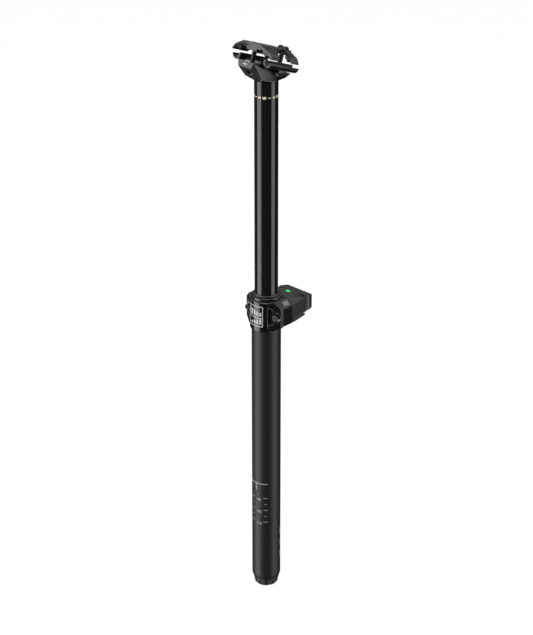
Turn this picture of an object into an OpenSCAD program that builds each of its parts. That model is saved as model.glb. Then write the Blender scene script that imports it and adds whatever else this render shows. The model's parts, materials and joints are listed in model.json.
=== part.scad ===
// Wireless dropper seatpost. Origin: post axis at the collar's lower edge.
// +Z runs up the post, +X points forward, to the battery, and +Y to the rider's left.

/* [Lower tube] */
// Outer diameter of the lower tube, a standard seatpost size
tube_d = 31.6; // [31.2:0.2:32]
// Wall of the lower tube
tube_wall = 1.2; // [1.0:0.05:1.25]
// Length of the lower tube below the collar
tube_len = 309.5; // [300:0.5:330]
// Length of the drawn-in end of the lower tube
tube_nose_len = 4.5; // [3:0.5:6]
// Outer radius of the lower tube at its drawn-in end
tube_nose_r = 14.6; // [14.55:0.05:14.9]
// Length of the lower tube's spigot inside the collar
spigot_len = 8; // [6:0.5:9]

/* [Air spring] */
// Inner radius of the air cylinder
cylinder_r = 13.3; // [13.2:0.05:13.4]
// Wall of the air cylinder
cylinder_wall = 0.7; // [0.6:0.05:0.75]
// Height of the main piston
piston_h = 14; // [10:1:18]
// Across-corner radius of the six-sided guide rod
guide_r = 4.5; // [4:0.1:5]

/* [Stanchion] */
// Outer diameter of the stanchion
stanchion_d = 25; // [24.8:0.1:25.1]
// Wall of the stanchion
stanchion_wall = 1.3; // [1.1:0.1:1.6]
// Height of the stanchion's top edge above the collar's lower edge
stanchion_top = 276.5; // [270:0.5:290]
// Travel of the post
travel = 225; // [200:5:230]

/* [Collar] */
// Height of the collar body
collar_h = 34.4; // [33:0.2:36]
// Outer radius of the collar body
collar_r = 17.5; // [17.2:0.1:17.8]
// Outer radius of the collar ring
ring_r = 16.6; // [16.2:0.1:16.8]
// Height of the collar ring above the collar body
ring_h = 4.1; // [3.5:0.1:5]
// Half width over the collar's two ears
ear_y = 25.9; // [25:0.1:27]
// Height of the upper edge of the ears
ear_top = 35.8; // [35:0.1:37]
// Distance of each ear bolt from the middle
ear_bolt_y = 20.65; // [20:0.05:21.2]
// Height of the ear bolts
ear_bolt_z = 18.6; // [17:0.1:20]

/* [Housing and battery] */
// Forward place of the seam between housing and battery
seam_x = 14.6; // [14:0.1:15.2]
// Half width at the seam
seam_y = 25.1; // [24.8:0.1:25.6]
// Forward place of the battery's front face
battery_x = 53; // [51:0.5:56]
// Half width of the battery's front face
battery_y = 17.4; // [16.5:0.1:18.5]
// Height of the underside of housing and battery
under_z = 7; // [6.5:0.1:7.5]
// Distance the battery slides out
battery_travel = 30; // [25:1:32]
// Opening angle of the battery latch
latch_angle = 24; // [15:1:24]
// Gap at seams between separate shells
seam_gap = 0.3; // [0.2:0.05:0.4]

/* [Head and clamp] */
// Slope of the saddle rails against the post, nose down
clamp_pitch = 20.2; // [15:0.2:23]
// Forward place of the clamp's centre on the rail plane
clamp_x = 0.85; // [0:0.05:2]
// Height of the clamp's centre above the stanchion's top edge
clamp_rise = 19.1; // [18.5:0.1:21]
// Distance of each saddle rail from the middle
rail_y = 22; // [21.5:0.1:22.5]
// Radius of the rail grooves, for rails of 7 mm
rail_r = 3.55; // [3.5:0.01:3.7]
// Height that the upper clamp stands open
clamp_lift = 3; // [2:0.1:4]
// Place of the rear clamp bolt along the rails
rear_bolt_u = -20.8; // [-21.2:0.1:-20.4]
// Place of the front clamp bolt along the rails
front_bolt_u = 19.4; // [19.2:0.1:19.8]
// Diameter of the clamp bolts' shanks
clamp_bolt_d = 5; // [4.6:0.1:5.2]

/* [Hidden] */
$fn = 96;
// A small overrun that lets cutters pass through a face
over = 0.1;
// Radial clearance of running fits and clearance of parts that only lie close
run_gap = 0.05;
free_gap = 0.3;

tube_r = tube_d / 2;
tube_in_r = tube_r - tube_wall;
spigot_r = tube_r - 0.6;
cylinder_out_r = cylinder_r + cylinder_wall;
stanchion_r = stanchion_d / 2;
stanchion_in_r = stanchion_r - stanchion_wall;
// Foot of the post, from the lower tube's end
tube_end_z = -tube_len;
cap_end_z = tube_end_z - 9.1;
cap_rim_r = 12.8;
cap_bore_r = 10.6;
plug_top_z = tube_end_z + 11;
bumper_h = 3;
bumper_top_z = plug_top_z + bumper_h;
piston_low_z = bumper_top_z + free_gap + travel;
stanchion_low_z = piston_low_z + 4;
guide_top_z = piston_low_z + piston_h + 22;
cylinder_top_z = spigot_len + 1.5;
// Seats in the collar, from the bottom up
bushing_z = cylinder_top_z + 0.7;
bushing_h = 14;
bushing_wall = 0.85;
bushing_out_r = stanchion_r + run_gap + bushing_wall;
seal_z = bushing_z + bushing_h + 0.8;
seal_out_r = bushing_out_r + 0.2;
seal_h = 2.6;
ring_thread_z = seal_z + seal_h + 0.5;
ring_top_z = collar_h + ring_h;
wiper_seat_z = ring_top_z - 2.6;
wiper_r = 14.2;

// Valve that the motor works, set across the collar's front wall
valve_z = 22.9;
valve_r = 3.2;
spool_r = 1.5;
valve_throw = 1.2;
cam_x = 23.5;
cam_angle = 100;
cam_high_r = 3.2;
cam_low_r = cam_high_r - valve_throw;
spool_end_x = cam_x - cam_high_r - free_gap;

// Clamp frame: u runs along the rails to the front, w stands square to them
clamp_z = stanchion_top + clamp_rise;
pivot_u = -1.7;
pivot_w = 6;
rocker_r = 19;
trough_r = 5.6;
rear_nut_w = 12.2;
front_nut_w = 14.4;
rear_washer_w = -9.8;
front_washer_w = -8.2;
shank_r = clamp_bolt_d / 2;
plateau_w = 15.2;

module in_clamp() {
    translate([clamp_x, 0, clamp_z]) rotate([0, clamp_pitch, 0]) children();
}

// Both sides alike
module both_sides() {
    children();
    mirror([0, 1, 0]) children();
}

module tube(r_out, r_in, z0, z1) {
    translate([0, 0, z0]) difference() {
        cylinder(r = r_out, h = z1 - z0);
        translate([0, 0, -over]) cylinder(r = r_in, h = z1 - z0 + 2 * over);
    }
}

// A ring of round section about the post axis
module o_ring(r_mid, r_wire, z) {
    translate([0, 0, z]) rotate_extrude() translate([r_mid, 0]) circle(r = r_wire, $fn = 24);
}

// A block between two corners
module block(low, high) {
    translate(low) cube(high - low);
}

// A cylinder across the post, along Y
module cross_rod(r, half_len) {
    rotate([90, 0, 0]) cylinder(r = r, h = 2 * half_len, center = true);
}

module lower_tube() {
    color([0.13, 0.13, 0.13]) difference() {
        union() {
            translate([0, 0, tube_end_z + tube_nose_len]) cylinder(r = tube_r, h = tube_len - tube_nose_len);
            translate([0, 0, tube_end_z]) cylinder(r1 = tube_nose_r, r2 = tube_r, h = tube_nose_len);
            translate([0, 0, -over]) cylinder(r = spigot_r, h = spigot_len + over);
        }
        translate([0, 0, tube_end_z + tube_nose_len]) cylinder(r = tube_in_r, h = tube_len + spigot_len);
        translate([0, 0, tube_end_z - over])
            cylinder(r = cylinder_r, h = tube_nose_len + 2 * over);
    }
}

module air_cylinder() {
    color("silver") tube(cylinder_out_r, cylinder_r, plug_top_z - 6, cylinder_top_z);
}

// Closes the tube's foot, carries the guide rod and the inflation valve
foot_bore_r = 3;
seal_wire_r = 0.55;
plug_groove_r = cylinder_r - 1.1;
plug_seal_z = [plug_top_z - 1.8, plug_top_z - 4.2];
module foot_plug() {
    plug_r = cylinder_r - run_gap;
    color([0.55, 0.55, 0.57]) difference() {
        union() {
            translate([0, 0, plug_top_z - 6]) cylinder(r = plug_r, h = 6);
            translate([0, 0, tube_end_z + tube_nose_len]) cylinder(r = tube_in_r, h = plug_top_z - 6
                - tube_end_z - tube_nose_len);
            translate([0, 0, tube_end_z]) cylinder(r = cylinder_r - free_gap, h = tube_nose_len + over);
            translate([0, 0, tube_end_z - 3]) cylinder(r = cap_bore_r, h = 3 + over);
        }
        for (z = plug_seal_z) translate([0, 0, z - 0.7]) tube(plug_r + over, plug_groove_r, 0, 1.4);
        translate([0, 0, tube_end_z - 3 - over]) cylinder(r = foot_bore_r, h = plug_top_z - tube_end_z);
        translate([0, 0, plug_top_z - 5]) cylinder(r = guide_r + run_gap, h = 5 + over);
    }
}

module foot_seals() {
    color("black") for (z = plug_seal_z) o_ring(plug_groove_r + seal_wire_r, seal_wire_r, z);
}

module bottom_bumper() {
    color([0.2, 0.2, 0.2]) difference() {
        translate([0, 0, plug_top_z]) cylinder(r = cylinder_r - 1, h = bumper_h);
        translate([0, 0, plug_top_z - over]) cylinder(r = guide_r + free_gap, h = bumper_h + 2 * over);
    }
}

// Six flats stop the post from turning
module guide_rod() {
    rod_low_z = plug_top_z - 5;
    color("silver") difference() {
        union() {
            translate([0, 0, rod_low_z]) cylinder(r = guide_r, h = 5);
            translate([0, 0, rod_low_z]) cylinder(r = guide_r, h = guide_top_z - rod_low_z, $fn = 6);
        }
        translate([0, 0, rod_low_z - over]) cylinder(r = 1.6, h = guide_top_z - rod_low_z + 2 * over);
    }
}

// Inflation valve, its core pin and cap, inside the end cap
valve_low_z = tube_end_z - 6.4;
valve_pin_r = 0.6;
module inflation_valve() {
    valve_len = 12;
    color([0.7, 0.6, 0.35]) difference() {
        translate([0, 0, valve_low_z]) cylinder(r = foot_bore_r - run_gap, h = valve_len);
        translate([0, 0, valve_low_z - over]) cylinder(r = 2.1, h = 4);
        translate([0, 0, valve_low_z]) cylinder(r = valve_pin_r + run_gap, h = valve_len + over);
    }
}

module valve_pin() {
    color("silver") translate([0, 0, valve_low_z + 1.2]) cylinder(r = valve_pin_r, h = 9);
}

module valve_cap() {
    color([0.1, 0.1, 0.1]) difference() {
        translate([0, 0, valve_low_z - 1.2]) cylinder(r = foot_bore_r + 1, h = 4.4);
        translate([0, 0, valve_low_z - 0.1]) cylinder(r = foot_bore_r, h = 4.4);
    }
}

// Castellated cap: notches round the rim give the fingers a grip
notch_count = 12;
notch_w = 2.6;
module end_cap() {
    cap_top_r = tube_nose_r - 0.4;
    cap_mid_z = cap_end_z + 2.4;
    color([0.12, 0.12, 0.12]) difference() {
        union() {
            rotate_extrude() polygon([[0, cap_end_z], [cap_rim_r - 1.4, cap_end_z],
                [cap_rim_r, cap_mid_z - 1], [cap_rim_r + 0.2, cap_mid_z], [cap_top_r, tube_end_z],
                [0, tube_end_z]]);
        }
        translate([0, 0, cap_end_z - over]) cylinder(r = cap_bore_r - 1.4, h = 2);
        translate([0, 0, cap_end_z + 1.8]) cylinder(r = cap_bore_r, h = tube_end_z - cap_end_z);
        for (k = [0:notch_count - 1]) rotate([0, 0, (k + 0.5) * 360 / notch_count])
            translate([cap_rim_r - 0.7, -notch_w / 2, cap_end_z - over]) cube([4, notch_w, 7.2]);
        for (k = [0:notch_count / 2 - 1]) rotate([0, 0, k * 720 / notch_count])
            translate([cap_rim_r - 4.5, -notch_w / 2, cap_end_z - over]) cube([6, notch_w, 1.3]);
    }
}

// Plan of one ear: its rear face is swept back towards the collar
ear_rear_x = -4.1;
ear_root_x = -7.7;
ear_root_y = 18.9;
ear_front_x = -1;
ear_low_z = 6.6;
ear_chamfer = ear_y - ear_root_y;
pocket_w = 4.8;
scallop_r = 6.1;
bolt_seat_x = -4.4;
module ear_solid() {
    sweep = (ear_rear_x - ear_root_x) / (ear_y - ear_root_y);
    intersection() {
        linear_extrude(ear_top) polygon([[ear_front_x, 0],
            [ear_root_x - sweep * ear_root_y, 0], [ear_rear_x, ear_y], [ear_front_x, ear_y]]);
        translate([-30, 0, 0]) rotate([90, 0, 90]) linear_extrude(30) polygon([[0, 1.2],
            [collar_r, 1.2], [ear_y, ear_low_z], [ear_y, ear_top - ear_chamfer],
            [ear_y - ear_chamfer, ear_top], [0, ear_top]]);
    }
}

module collar() {
    color([0.1, 0.1, 0.1]) difference() {
        union() {
            rotate_extrude() polygon([[0, 0], [collar_r - 0.5, 0], [collar_r, 0.6],
                [collar_r, collar_h - 1], [collar_r - 1, collar_h], [0, collar_h]]);
            both_sides() ear_solid();
        }
        translate([0, 0, collar_h]) cylinder(r = collar_r + 0.6, h = 10);
        // Bores for the tube's spigot, the air cylinder, the bushing, the seal and the ring
        translate([0, 0, -over]) cylinder(r = spigot_r + run_gap, h = spigot_len + over);
        cylinder(r = cylinder_out_r + run_gap, h = cylinder_top_z);
        cylinder(r = bushing_out_r, h = bushing_z + bushing_h);
        cylinder(r = stanchion_r + 0.4, h = collar_h);
        translate([0, 0, seal_z]) cylinder(r = seal_out_r, h = seal_h);
        translate([0, 0, ring_thread_z]) cylinder(r = ring_r - 1.6 + run_gap, h = 20);
        // Air passage up to the valve, and the valve's bore
        translate([port_x, 0, spigot_len - over]) cylinder(r = 0.7, h = valve_z - spigot_len, $fn = 24);
        translate([0, 0, valve_z]) rotate([0, 90, 0]) cylinder(r = valve_r + run_gap, h = 25);
        both_sides() {
            // Bolt hole, its rounded pocket and the deep pocket beside it
            translate([-20, ear_bolt_y, ear_bolt_z]) rotate([0, 90, 0]) cylinder(r = 2.1, h = 25);
            intersection() {
                translate([-20, ear_bolt_y - 1.3, ear_bolt_z]) rotate([0, 90, 0])
                    cylinder(r = scallop_r, h = 20 + bolt_seat_x);
                block([-20, ear_bolt_y - 4.2, 0], [0, 40, 60]);
            }
            translate([-11.4, 15.5, 18.1]) deep_pocket();
        }
    }
}

port_x = cylinder_out_r + 0.9;
module deep_pocket() {
    corner_r = 1.2;
    pocket_h = 18.8;
    rotate([0, 90, 0]) linear_extrude(5) offset(r = corner_r, $fn = 32)
        square([pocket_h - 2 * corner_r, pocket_w - 2 * corner_r], center = true);
}

module collar_ring() {
    ring_in_r = stanchion_r + 0.9;
    color([0.12, 0.12, 0.12]) difference() {
        rotate_extrude() polygon([[ring_in_r, ring_thread_z], [ring_r - 1.6, ring_thread_z],
            [ring_r - 1.6, collar_h], [ring_r - 0.7, collar_h + 0.05], [ring_r - 0.7, collar_h + 0.8],
            [ring_r, collar_h + 1.1], [ring_r, ring_top_z - 0.7], [ring_r - 0.7, ring_top_z],
            [ring_in_r, ring_top_z]]);
        translate([0, 0, wiper_seat_z]) cylinder(r = wiper_r, h = 10);
    }
}

module wiper_seal() {
    lip_z = ring_top_z + 2.4;
    color([0.08, 0.08, 0.08]) rotate_extrude() polygon([[stanchion_r + 0.5, wiper_seat_z],
        [wiper_r, wiper_seat_z], [wiper_r, ring_top_z + 1.2], [wiper_r - 0.5, ring_top_z + 1.8],
        [stanchion_r + 0.8, lip_z], [stanchion_r + free_gap, lip_z - 0.1],
        [stanchion_r + free_gap, lip_z - 0.7], [stanchion_r + 0.6, ring_top_z]]);
}

module shaft_seal() {
    color([0.15, 0.15, 0.15]) rotate_extrude() polygon([[stanchion_r + 0.15, seal_z + 0.6],
        [stanchion_r + 0.5, seal_z + 0.05], [seal_out_r, seal_z + 0.05],
        [seal_out_r, seal_z + seal_h - 0.05], [stanchion_r + 0.5, seal_z + seal_h - 0.05],
        [stanchion_r + 0.15, seal_z + seal_h - 0.6]]);
}

module upper_bushing() {
    color([0.45, 0.45, 0.42]) tube(bushing_out_r, stanchion_r + run_gap, bushing_z, bushing_z + bushing_h);
}

// Valve seat: a flanged sleeve along X
seat_in_x = bushing_out_r + 0.25;
seat_out_x = collar_r + 1.2;
module valve_seat() {
    color([0.75, 0.65, 0.35]) difference() {
        translate([0, 0, valve_z]) rotate([0, 90, 0]) {
            translate([0, 0, seat_in_x]) cylinder(r = valve_r, h = seat_out_x - seat_in_x);
            translate([0, 0, collar_r]) cylinder(r = valve_r + 1, h = seat_out_x - collar_r);
        }
        translate([seat_in_x - over, 0, valve_z]) rotate([0, 90, 0]) cylinder(r = spool_r + run_gap, h = 20);
        translate([spring_x, 0, valve_z]) rotate([0, 90, 0]) cylinder(r = 2.4, h = 20);
        translate([seat_groove_x, 0, valve_z]) rotate([0, 90, 0])
            tube(valve_r + 1, valve_r - 0.6, 0, 0.8);
        translate([port_x - 0.3, 0, valve_z - valve_r - over]) cylinder(r = 0.4, h = valve_r, $fn = 24);
    }
}
spring_x = collar_r - 0.7;
seat_groove_x = port_x + 0.8;

module valve_seat_seals() {
    color("black") translate([seat_groove_x + 0.4, 0, valve_z]) rotate([0, 90, 0])
        o_ring(valve_r - 0.3, 0.3, 0);
}

// Holds the spool against the cam
module valve_spring() {
    turns = 3;
    wire_r = 0.15;
    steps = 16;
    coil_r = 2.0;
    free_len = spool_head_x - spring_x - 2 * wire_r - 0.1;
    ring_pts = 6;
    n = turns * steps;
    points = [for (i = [0:n]) for (j = [0:ring_pts - 1])
        let (a = i * 360 / steps, b = j * 360 / ring_pts, r = coil_r + wire_r * cos(b))
        [wire_r + free_len * i / n + wire_r * sin(b), r * cos(a), r * sin(a)]];
    sides = [for (i = [0:n - 1]) for (j = [0:ring_pts - 1])
        let (k = (j + 1) % ring_pts, a = i * ring_pts, b = (i + 1) * ring_pts)
        each [[a + j, a + k, b + k], [a + j, b + k, b + j]]];
    ends = [for (j = [1:ring_pts - 2]) each [[0, j + 1, j],
        [n * ring_pts, n * ring_pts + j, n * ring_pts + j + 1]]];
    color("silver") translate([spring_x + 0.05, 0, valve_z])
        polyhedron(points, concat(sides, ends));
}

// Outline of housing and battery seen from above, right half
module plan(x0, x1) {
    seam_taper = (seam_y - battery_y) / (battery_x - seam_x);
    y0 = x0 < seam_x ? ear_y - 0.1 : seam_y - seam_taper * (x0 - seam_x);
    y1 = seam_y - seam_taper * (x1 - seam_x);
    polygon([[x0, -y0], [x1, -y1], [x1, y1], [x0, y0]]);
}

// Slope of the top: height falls to the front
top_seam_z = 34.5;
top_front_z = 26.4;
front_low_z = 11;
function top_z(x) = top_seam_z + (top_front_z - top_seam_z) * (x - seam_x) / (battery_x - seam_x);

module side_profile(x0, x1) {
    rotate([90, 0, 0]) linear_extrude(80, center = true) polygon([[x0, under_z], [x1, under_z],
        [x1, top_z(x1)], [x0, x0 < seam_x ? ear_top - 0.3 : top_z(x0)]]);
}

// Chamfered cross-section of the housing, constant along X
module housing_section(x0, x1) {
    top = ear_top + 1;
    chamfer_y = 19.2;
    chamfer_z = 28.4;
    translate([x0, 0, 0]) rotate([90, 0, 90]) linear_extrude(x1 - x0) polygon([[-ear_y, under_z],
        [ear_y, under_z], [ear_y, chamfer_z], [seam_y, chamfer_z], [chamfer_y, top_seam_z],
        [chamfer_y - 1.5, top], [1.5 - chamfer_y, top], [-chamfer_y, top_seam_z],
        [-seam_y, chamfer_z], [-ear_y, chamfer_z]]);
}

// Tongue of the housing over the battery, seen from above
tongue_x = 38.4;
tongue_low_z = 26.8;
dock_x = 29;
dock_y = 15;
dock_low_z = 8.8;
module tongue_plan(grow) {
    polygon([[seam_x - 1, -19.2 - grow], [seam_x + grow, -19.2 - grow], [18.7, -16.2 - grow],
        [tongue_x + grow, -5.3 - grow], [tongue_x + grow, 5.3 + grow], [18.7, 16.2 + grow],
        [seam_x + grow, 19.2 + grow], [seam_x - 1, 19.2 + grow]]);
}

cavity_wall = 1.3;
button_u = 7;
button_len = 8.4;
button_w = 5.6;
button_throw = 0.6;
// Frame of the function button: square to the drive-side chamfer
module in_button() {
    translate([button_u, -22.15, 31.45]) rotate([45, 0, 0]) children();
}
lens_x = 33;
lens_long = 2.9;
lens_wide = 1.9;
module lens_outline(grow) {
    translate([lens_x, 0, 0]) linear_extrude(40)
        hull() for (s = [-1, 1]) translate([0, s * (lens_long - lens_wide)])
            circle(r = lens_wide + grow, $fn = 32);
}

module actuator_housing() {
    color([0.13, 0.13, 0.13]) difference() {
        union() {
            intersection() {
                linear_extrude(60) plan(ear_front_x + 0.02, seam_x);
                side_profile(ear_front_x, seam_x);
                housing_section(ear_front_x, seam_x);
            }
            intersection() {
                translate([0, 0, dock_low_z]) linear_extrude(60) tongue_plan(0);
                side_profile(seam_x, tongue_x);
                union() {
                    block([0, -40, tongue_low_z], [tongue_x, 40, 60]);
                    block([0, -dock_y, 0], [dock_x, dock_y, 60]);
                }
            }
            block([seam_x - 1, -dock_y, dock_low_z], [dock_x, dock_y, tongue_low_z]);
            both_sides() block([seam_x - 1, latch_lug_y - 2.6, dock_low_z], [latch_x + 1.2, latch_lug_y, 12.6]);
        }
        // The collar stands through the housing
        translate([0, 0, -over]) cylinder(r = collar_r + run_gap, h = 60);
        // Dock cavity for motor, gears and board, open below for the cover
        block([cavity_x0, -cavity_y, under_z - 1], [cavity_x1, cavity_y, cavity_top_z]);
        translate([gear_hub[0], gear_hub[1], gear_low_z - 0.5])
            cylinder(r = gear_room_r, h = cavity_top_z - gear_low_z + 0.5);
        // Room for the board under the tongue's top, reached from the dock
        block([board_x0 - 0.3, -board_y - 0.3, board_z - 0.3],
            [board_x1 + 0.3, board_y + 0.3, board_z + 1.4]);
        translate([cavity_x1 - 1.2, 1 - board_y, cavity_top_z - 1]) cylinder(r = 1, h = 4, $fn = 24);
        // Hole from the valve seat to the cam
        translate([10, 0, valve_z]) rotate([0, 90, 0]) cylinder(r = valve_r + 1.3, h = 12);
        // Lobe beside the collar for the button's switch
        in_button() block([-2.1, -2.2, -4.4], [3, 1.6, over]);
        in_button() block([-button_len / 2 - 0.2, -button_w / 2 - 0.2, -1.9],
            [button_len / 2 + 0.2, button_w / 2 + 0.2, 5]);
        translate([0, 0, board_z]) lens_outline(0.02);
        // Threaded inserts for the ear bolts
        both_sides() translate([ear_front_x - over, ear_bolt_y, ear_bolt_z]) rotate([0, 90, 0])
            cylinder(r = insert_r, h = insert_len + over);
        // Latch pins
        both_sides() translate([latch_x, 0, latch_z]) rotate([-90, 0, 0])
            translate([0, 0, latch_lug_y - 3.6]) cylinder(r = latch_pin_r, h = 5, $fn = 32);
        // Contact pins through the dock's front wall
        for (y = contact_y) translate([dock_x - 3, y, contact_z]) rotate([0, 90, 0])
            cylinder(r = contact_r, h = 5, $fn = 24);
        // Seat and screws of the bottom cover
        block([cover_x0 - 0.1, -cover_y - 0.1, under_z - 1],
            [cover_x1 + 0.1, cover_y + 0.1, dock_low_z + cover_t + gasket_t]);
        screw_holes(dock_low_z, screw_len);
        translate([gear_hub[0], gear_hub[1], cavity_top_z - over]) cylinder(r = axle_r, h = 1 + over, $fn = 24);
    }
}
insert_r = 2.6;
insert_len = 7;
contact_y = [-4.5, -1.5, 1.5, 4.5];
contact_z = 17;
contact_r = 0.7;
contact_in = 2.2;
latch_x = 17.6;
latch_z = 9;
latch_lug_y = 22.4;
latch_pin_r = 0.8;
latch_pin_len = 5;
cavity_x0 = 20.2;
cavity_x1 = dock_x - 1.4;
cavity_y = 12.6;
cavity_top_z = 25.4;
cover_x0 = cavity_x0 - 1.2;
cover_x1 = dock_x - 0.6;
cover_y = dock_y - 0.6;
cover_t = 1.3;
gasket_t = 0.4;
screw_r = 0.6;
screw_len = 5;
screw_points = [[21, 13.5], [21, -13.5], [26.6, -13.5], [26.6, 13.5]];
// Screw holes that the cover, its gasket and the dock share
module screw_holes(z, h) {
    for (p = screw_points) translate([p[0], p[1], z]) cylinder(r = screw_r, h = h, $fn = 24);
}

module housing_cover() {
    color([0.11, 0.11, 0.11]) difference() {
        block([cover_x0, -cover_y, dock_low_z], [cover_x1, cover_y, dock_low_z + cover_t]);
        screw_holes(dock_low_z - over, 3);
        translate([gear_hub[0], gear_hub[1], dock_low_z + 0.6]) cylinder(r = axle_r, h = 2, $fn = 24);
    }
}

module cover_screws() {
    color("silver") screw_holes(dock_low_z, screw_len);
}

// Flat gasket between the cover and the dock
module cover_gasket() {
    gasket_z = dock_low_z + cover_t;
    color([0.25, 0.25, 0.25]) difference() {
        block([cover_x0, -cover_y, gasket_z], [cover_x1, cover_y, gasket_z + gasket_t]);
        block([cavity_x0, -cavity_y, gasket_z - over], [cavity_x1, cavity_y, gasket_z + 1]);
        screw_holes(gasket_z - over, 1);
    }
}

module socket_bolt(r, head_r, head_h, len, socket_r) {
    difference() {
        union() {
            cylinder(r = r, h = len);
            translate([0, 0, -head_h]) cylinder(r = head_r, h = head_h);
        }
        translate([0, 0, -head_h - over]) cylinder(r = socket_r, h = head_h * 0.6, $fn = 6);
    }
}

module housing_bolts() {
    color([0.2, 0.2, 0.2]) both_sides() translate([bolt_seat_x, ear_bolt_y, ear_bolt_z])
        rotate([0, 90, 0]) socket_bolt(1.7, 2.9, 4.5, 9.6, 1.6);
}

module thread_inserts() {
    color([0.75, 0.65, 0.35]) both_sides() difference() {
        translate([ear_front_x, ear_bolt_y, ear_bolt_z]) rotate([0, 90, 0]) cylinder(r = insert_r, h = insert_len);
        translate([ear_front_x - over, ear_bolt_y, ear_bolt_z]) rotate([0, 90, 0]) cylinder(r = 1.75, h = 20);
    }
}

// Gear train: pinion on the motor drives the cam gear
gear_module = 0.35;
pinion_teeth = 9;
cam_teeth = 24;
gear_play = 0.12;
axle_r = 0.8;
gear_low_z = 18.9;
gear_w = 1.6;
gear_hub = [cam_x, 0];
gear_room_r = gear_module * (cam_teeth / 2 + 1) + 0.2;
mesh_dist = gear_module * (pinion_teeth + cam_teeth) / 2 + gear_play;
motor_place = [cam_x, mesh_dist];
motor_r = 3;
motor_len = 7.4;
plate_z = gear_low_z - 1.4;

// Straight-flanked teeth; phase turns the gear about its axis
module gear(teeth, phase, width) {
    pitch_r = gear_module * teeth / 2;
    tip_r = pitch_r + gear_module * 0.9;
    root_r = pitch_r - gear_module * 1.1;
    step = 360 / teeth;
    points = [for (k = [0:teeth - 1]) each [
        for (c = [[root_r, -0.36], [tip_r, -0.12], [tip_r, 0.12], [root_r, 0.36]])
            let (a = phase + (k + c[1]) * step) [c[0] * cos(a), c[0] * sin(a)]]];
    linear_extrude(width) polygon(points);
}

module motor_pinion() {
    color("gold") translate([motor_place[0], motor_place[1], gear_low_z]) difference() {
        gear(pinion_teeth, 90, gear_w);
        translate([0, 0, -over]) cylinder(r = 0.45 + run_gap, h = 3, $fn = 24);
    }
}

// Radius of the cam changes evenly with the angle, so the spool moves evenly
module cam_gear() {
    cam_z = gear_low_z + gear_w;
    cam_h = 2 * (valve_z - cam_z);
    steps = 25;
    rise = [for (k = [0:steps]) let (t = k / steps, a = 180 - cam_angle * t,
        r = cam_high_r - valve_throw * t) [r * cos(a), r * sin(a)]];
    lead = [for (k = [1:6]) let (a = 180 + k * 8) [cam_high_r * cos(a), cam_high_r * sin(a)]];
    back = [for (k = [1:10]) let (a = 228 + k * 20, r = cam_low_r - 0.4) [r * cos(a), r * sin(a)]];
    color([0.85, 0.85, 0.8]) translate([cam_x, 0, 0]) difference() {
        union() {
            translate([0, 0, gear_low_z]) gear(cam_teeth, 90, gear_w);
            translate([0, 0, cam_z]) linear_extrude(cam_h) polygon(concat(rise_reversed(rise), lead, back));
        }
        translate([0, 0, gear_low_z - over]) cylinder(r = axle_r + run_gap, h = 20, $fn = 24);
    }
}
function rise_reversed(p) = [for (k = [len(p) - 1:-1:0]) p[k]];

module gear_axle() {
    color("silver") translate([gear_hub[0], gear_hub[1], dock_low_z + 0.6])
        cylinder(r = axle_r, h = cavity_top_z + 1 - dock_low_z - 0.6, $fn = 24);
}

module motor() {
    color("silver") translate([motor_place[0], motor_place[1], plate_z - motor_len]) {
        difference() {
            cylinder(r = motor_r, h = motor_len);
            for (s = [-1, 1]) translate([s * (motor_r + 1.5), 0, motor_len / 2])
                cube([4, 7, motor_len + 1], center = true);
        }
        cylinder(r = 0.45, h = motor_len + 1.4 + gear_w + 0.4, $fn = 24);
    }
}

// Carries the motor and steadies the axle
module gear_plate() {
    color([0.3, 0.3, 0.3]) difference() {
        block([cavity_x0 + 0.1, 0.1 - cavity_y, plate_z],
            [dock_x - contact_in - free_gap, cavity_y - 0.1, plate_z + 0.9]);
        translate([motor_place[0], motor_place[1], plate_z - over]) cylinder(r = 0.45 + run_gap, h = 3, $fn = 24);
        translate([gear_hub[0], gear_hub[1], plate_z - over]) cylinder(r = axle_r, h = 3, $fn = 24);
    }
    color([0.3, 0.3, 0.3]) block([24, -11, dock_low_z + cover_t], [cavity_x1 - 0.6, -8, plate_z + over]);
}

board_x0 = 21;
board_x1 = 36;
board_y = 3.6;
board_z = 27.6;
module circuit_board() {
    board_t = 0.8;
    color([0.05, 0.3, 0.12]) difference() {
        union() {
            block([board_x0, -board_y, board_z - 0.3], [board_x1, board_y, board_z - 0.3 + board_t]);
            block([lens_x - 0.8, -0.8, board_z + 0.4], [lens_x + 0.8, 0.8, board_z + 0.95]);
        }
        translate([gear_hub[0], gear_hub[1], board_z - 2]) cylinder(r = axle_r + 0.4, h = 4, $fn = 24);
    }
}

module button_switch() {
    color([0.6, 0.6, 0.6]) in_button() {
        block([-2.1, -2.1, -4.4], [2.9, 1.5, -3.3]);
        translate([0, 0, -3.4]) cylinder(r = 1.2, h = 0.5, $fn = 32);
    }
}

module contact_pins() {
    color("gold") for (y = contact_y) translate([dock_x - contact_in, y, contact_z]) rotate([0, 90, 0])
        cylinder(r = contact_r, h = 2.3, $fn = 24);
}

module light_lens() {
    color([0.3, 0.95, 0.4]) intersection() {
        lens_outline(0);
        translate([0, 0, 0.15]) side_profile(lens_x - 5, lens_x + 5);
        block([lens_x - 6, -6, board_z + 1], [lens_x + 6, 6, 60]);
    }
}

module latch_pins() {
    color("silver") both_sides() translate([latch_x, 0, latch_z]) rotate([-90, 0, 0])
        translate([0, 0, latch_lug_y - 3.6]) cylinder(r = latch_pin_r, h = latch_pin_len, $fn = 32);
}

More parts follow.
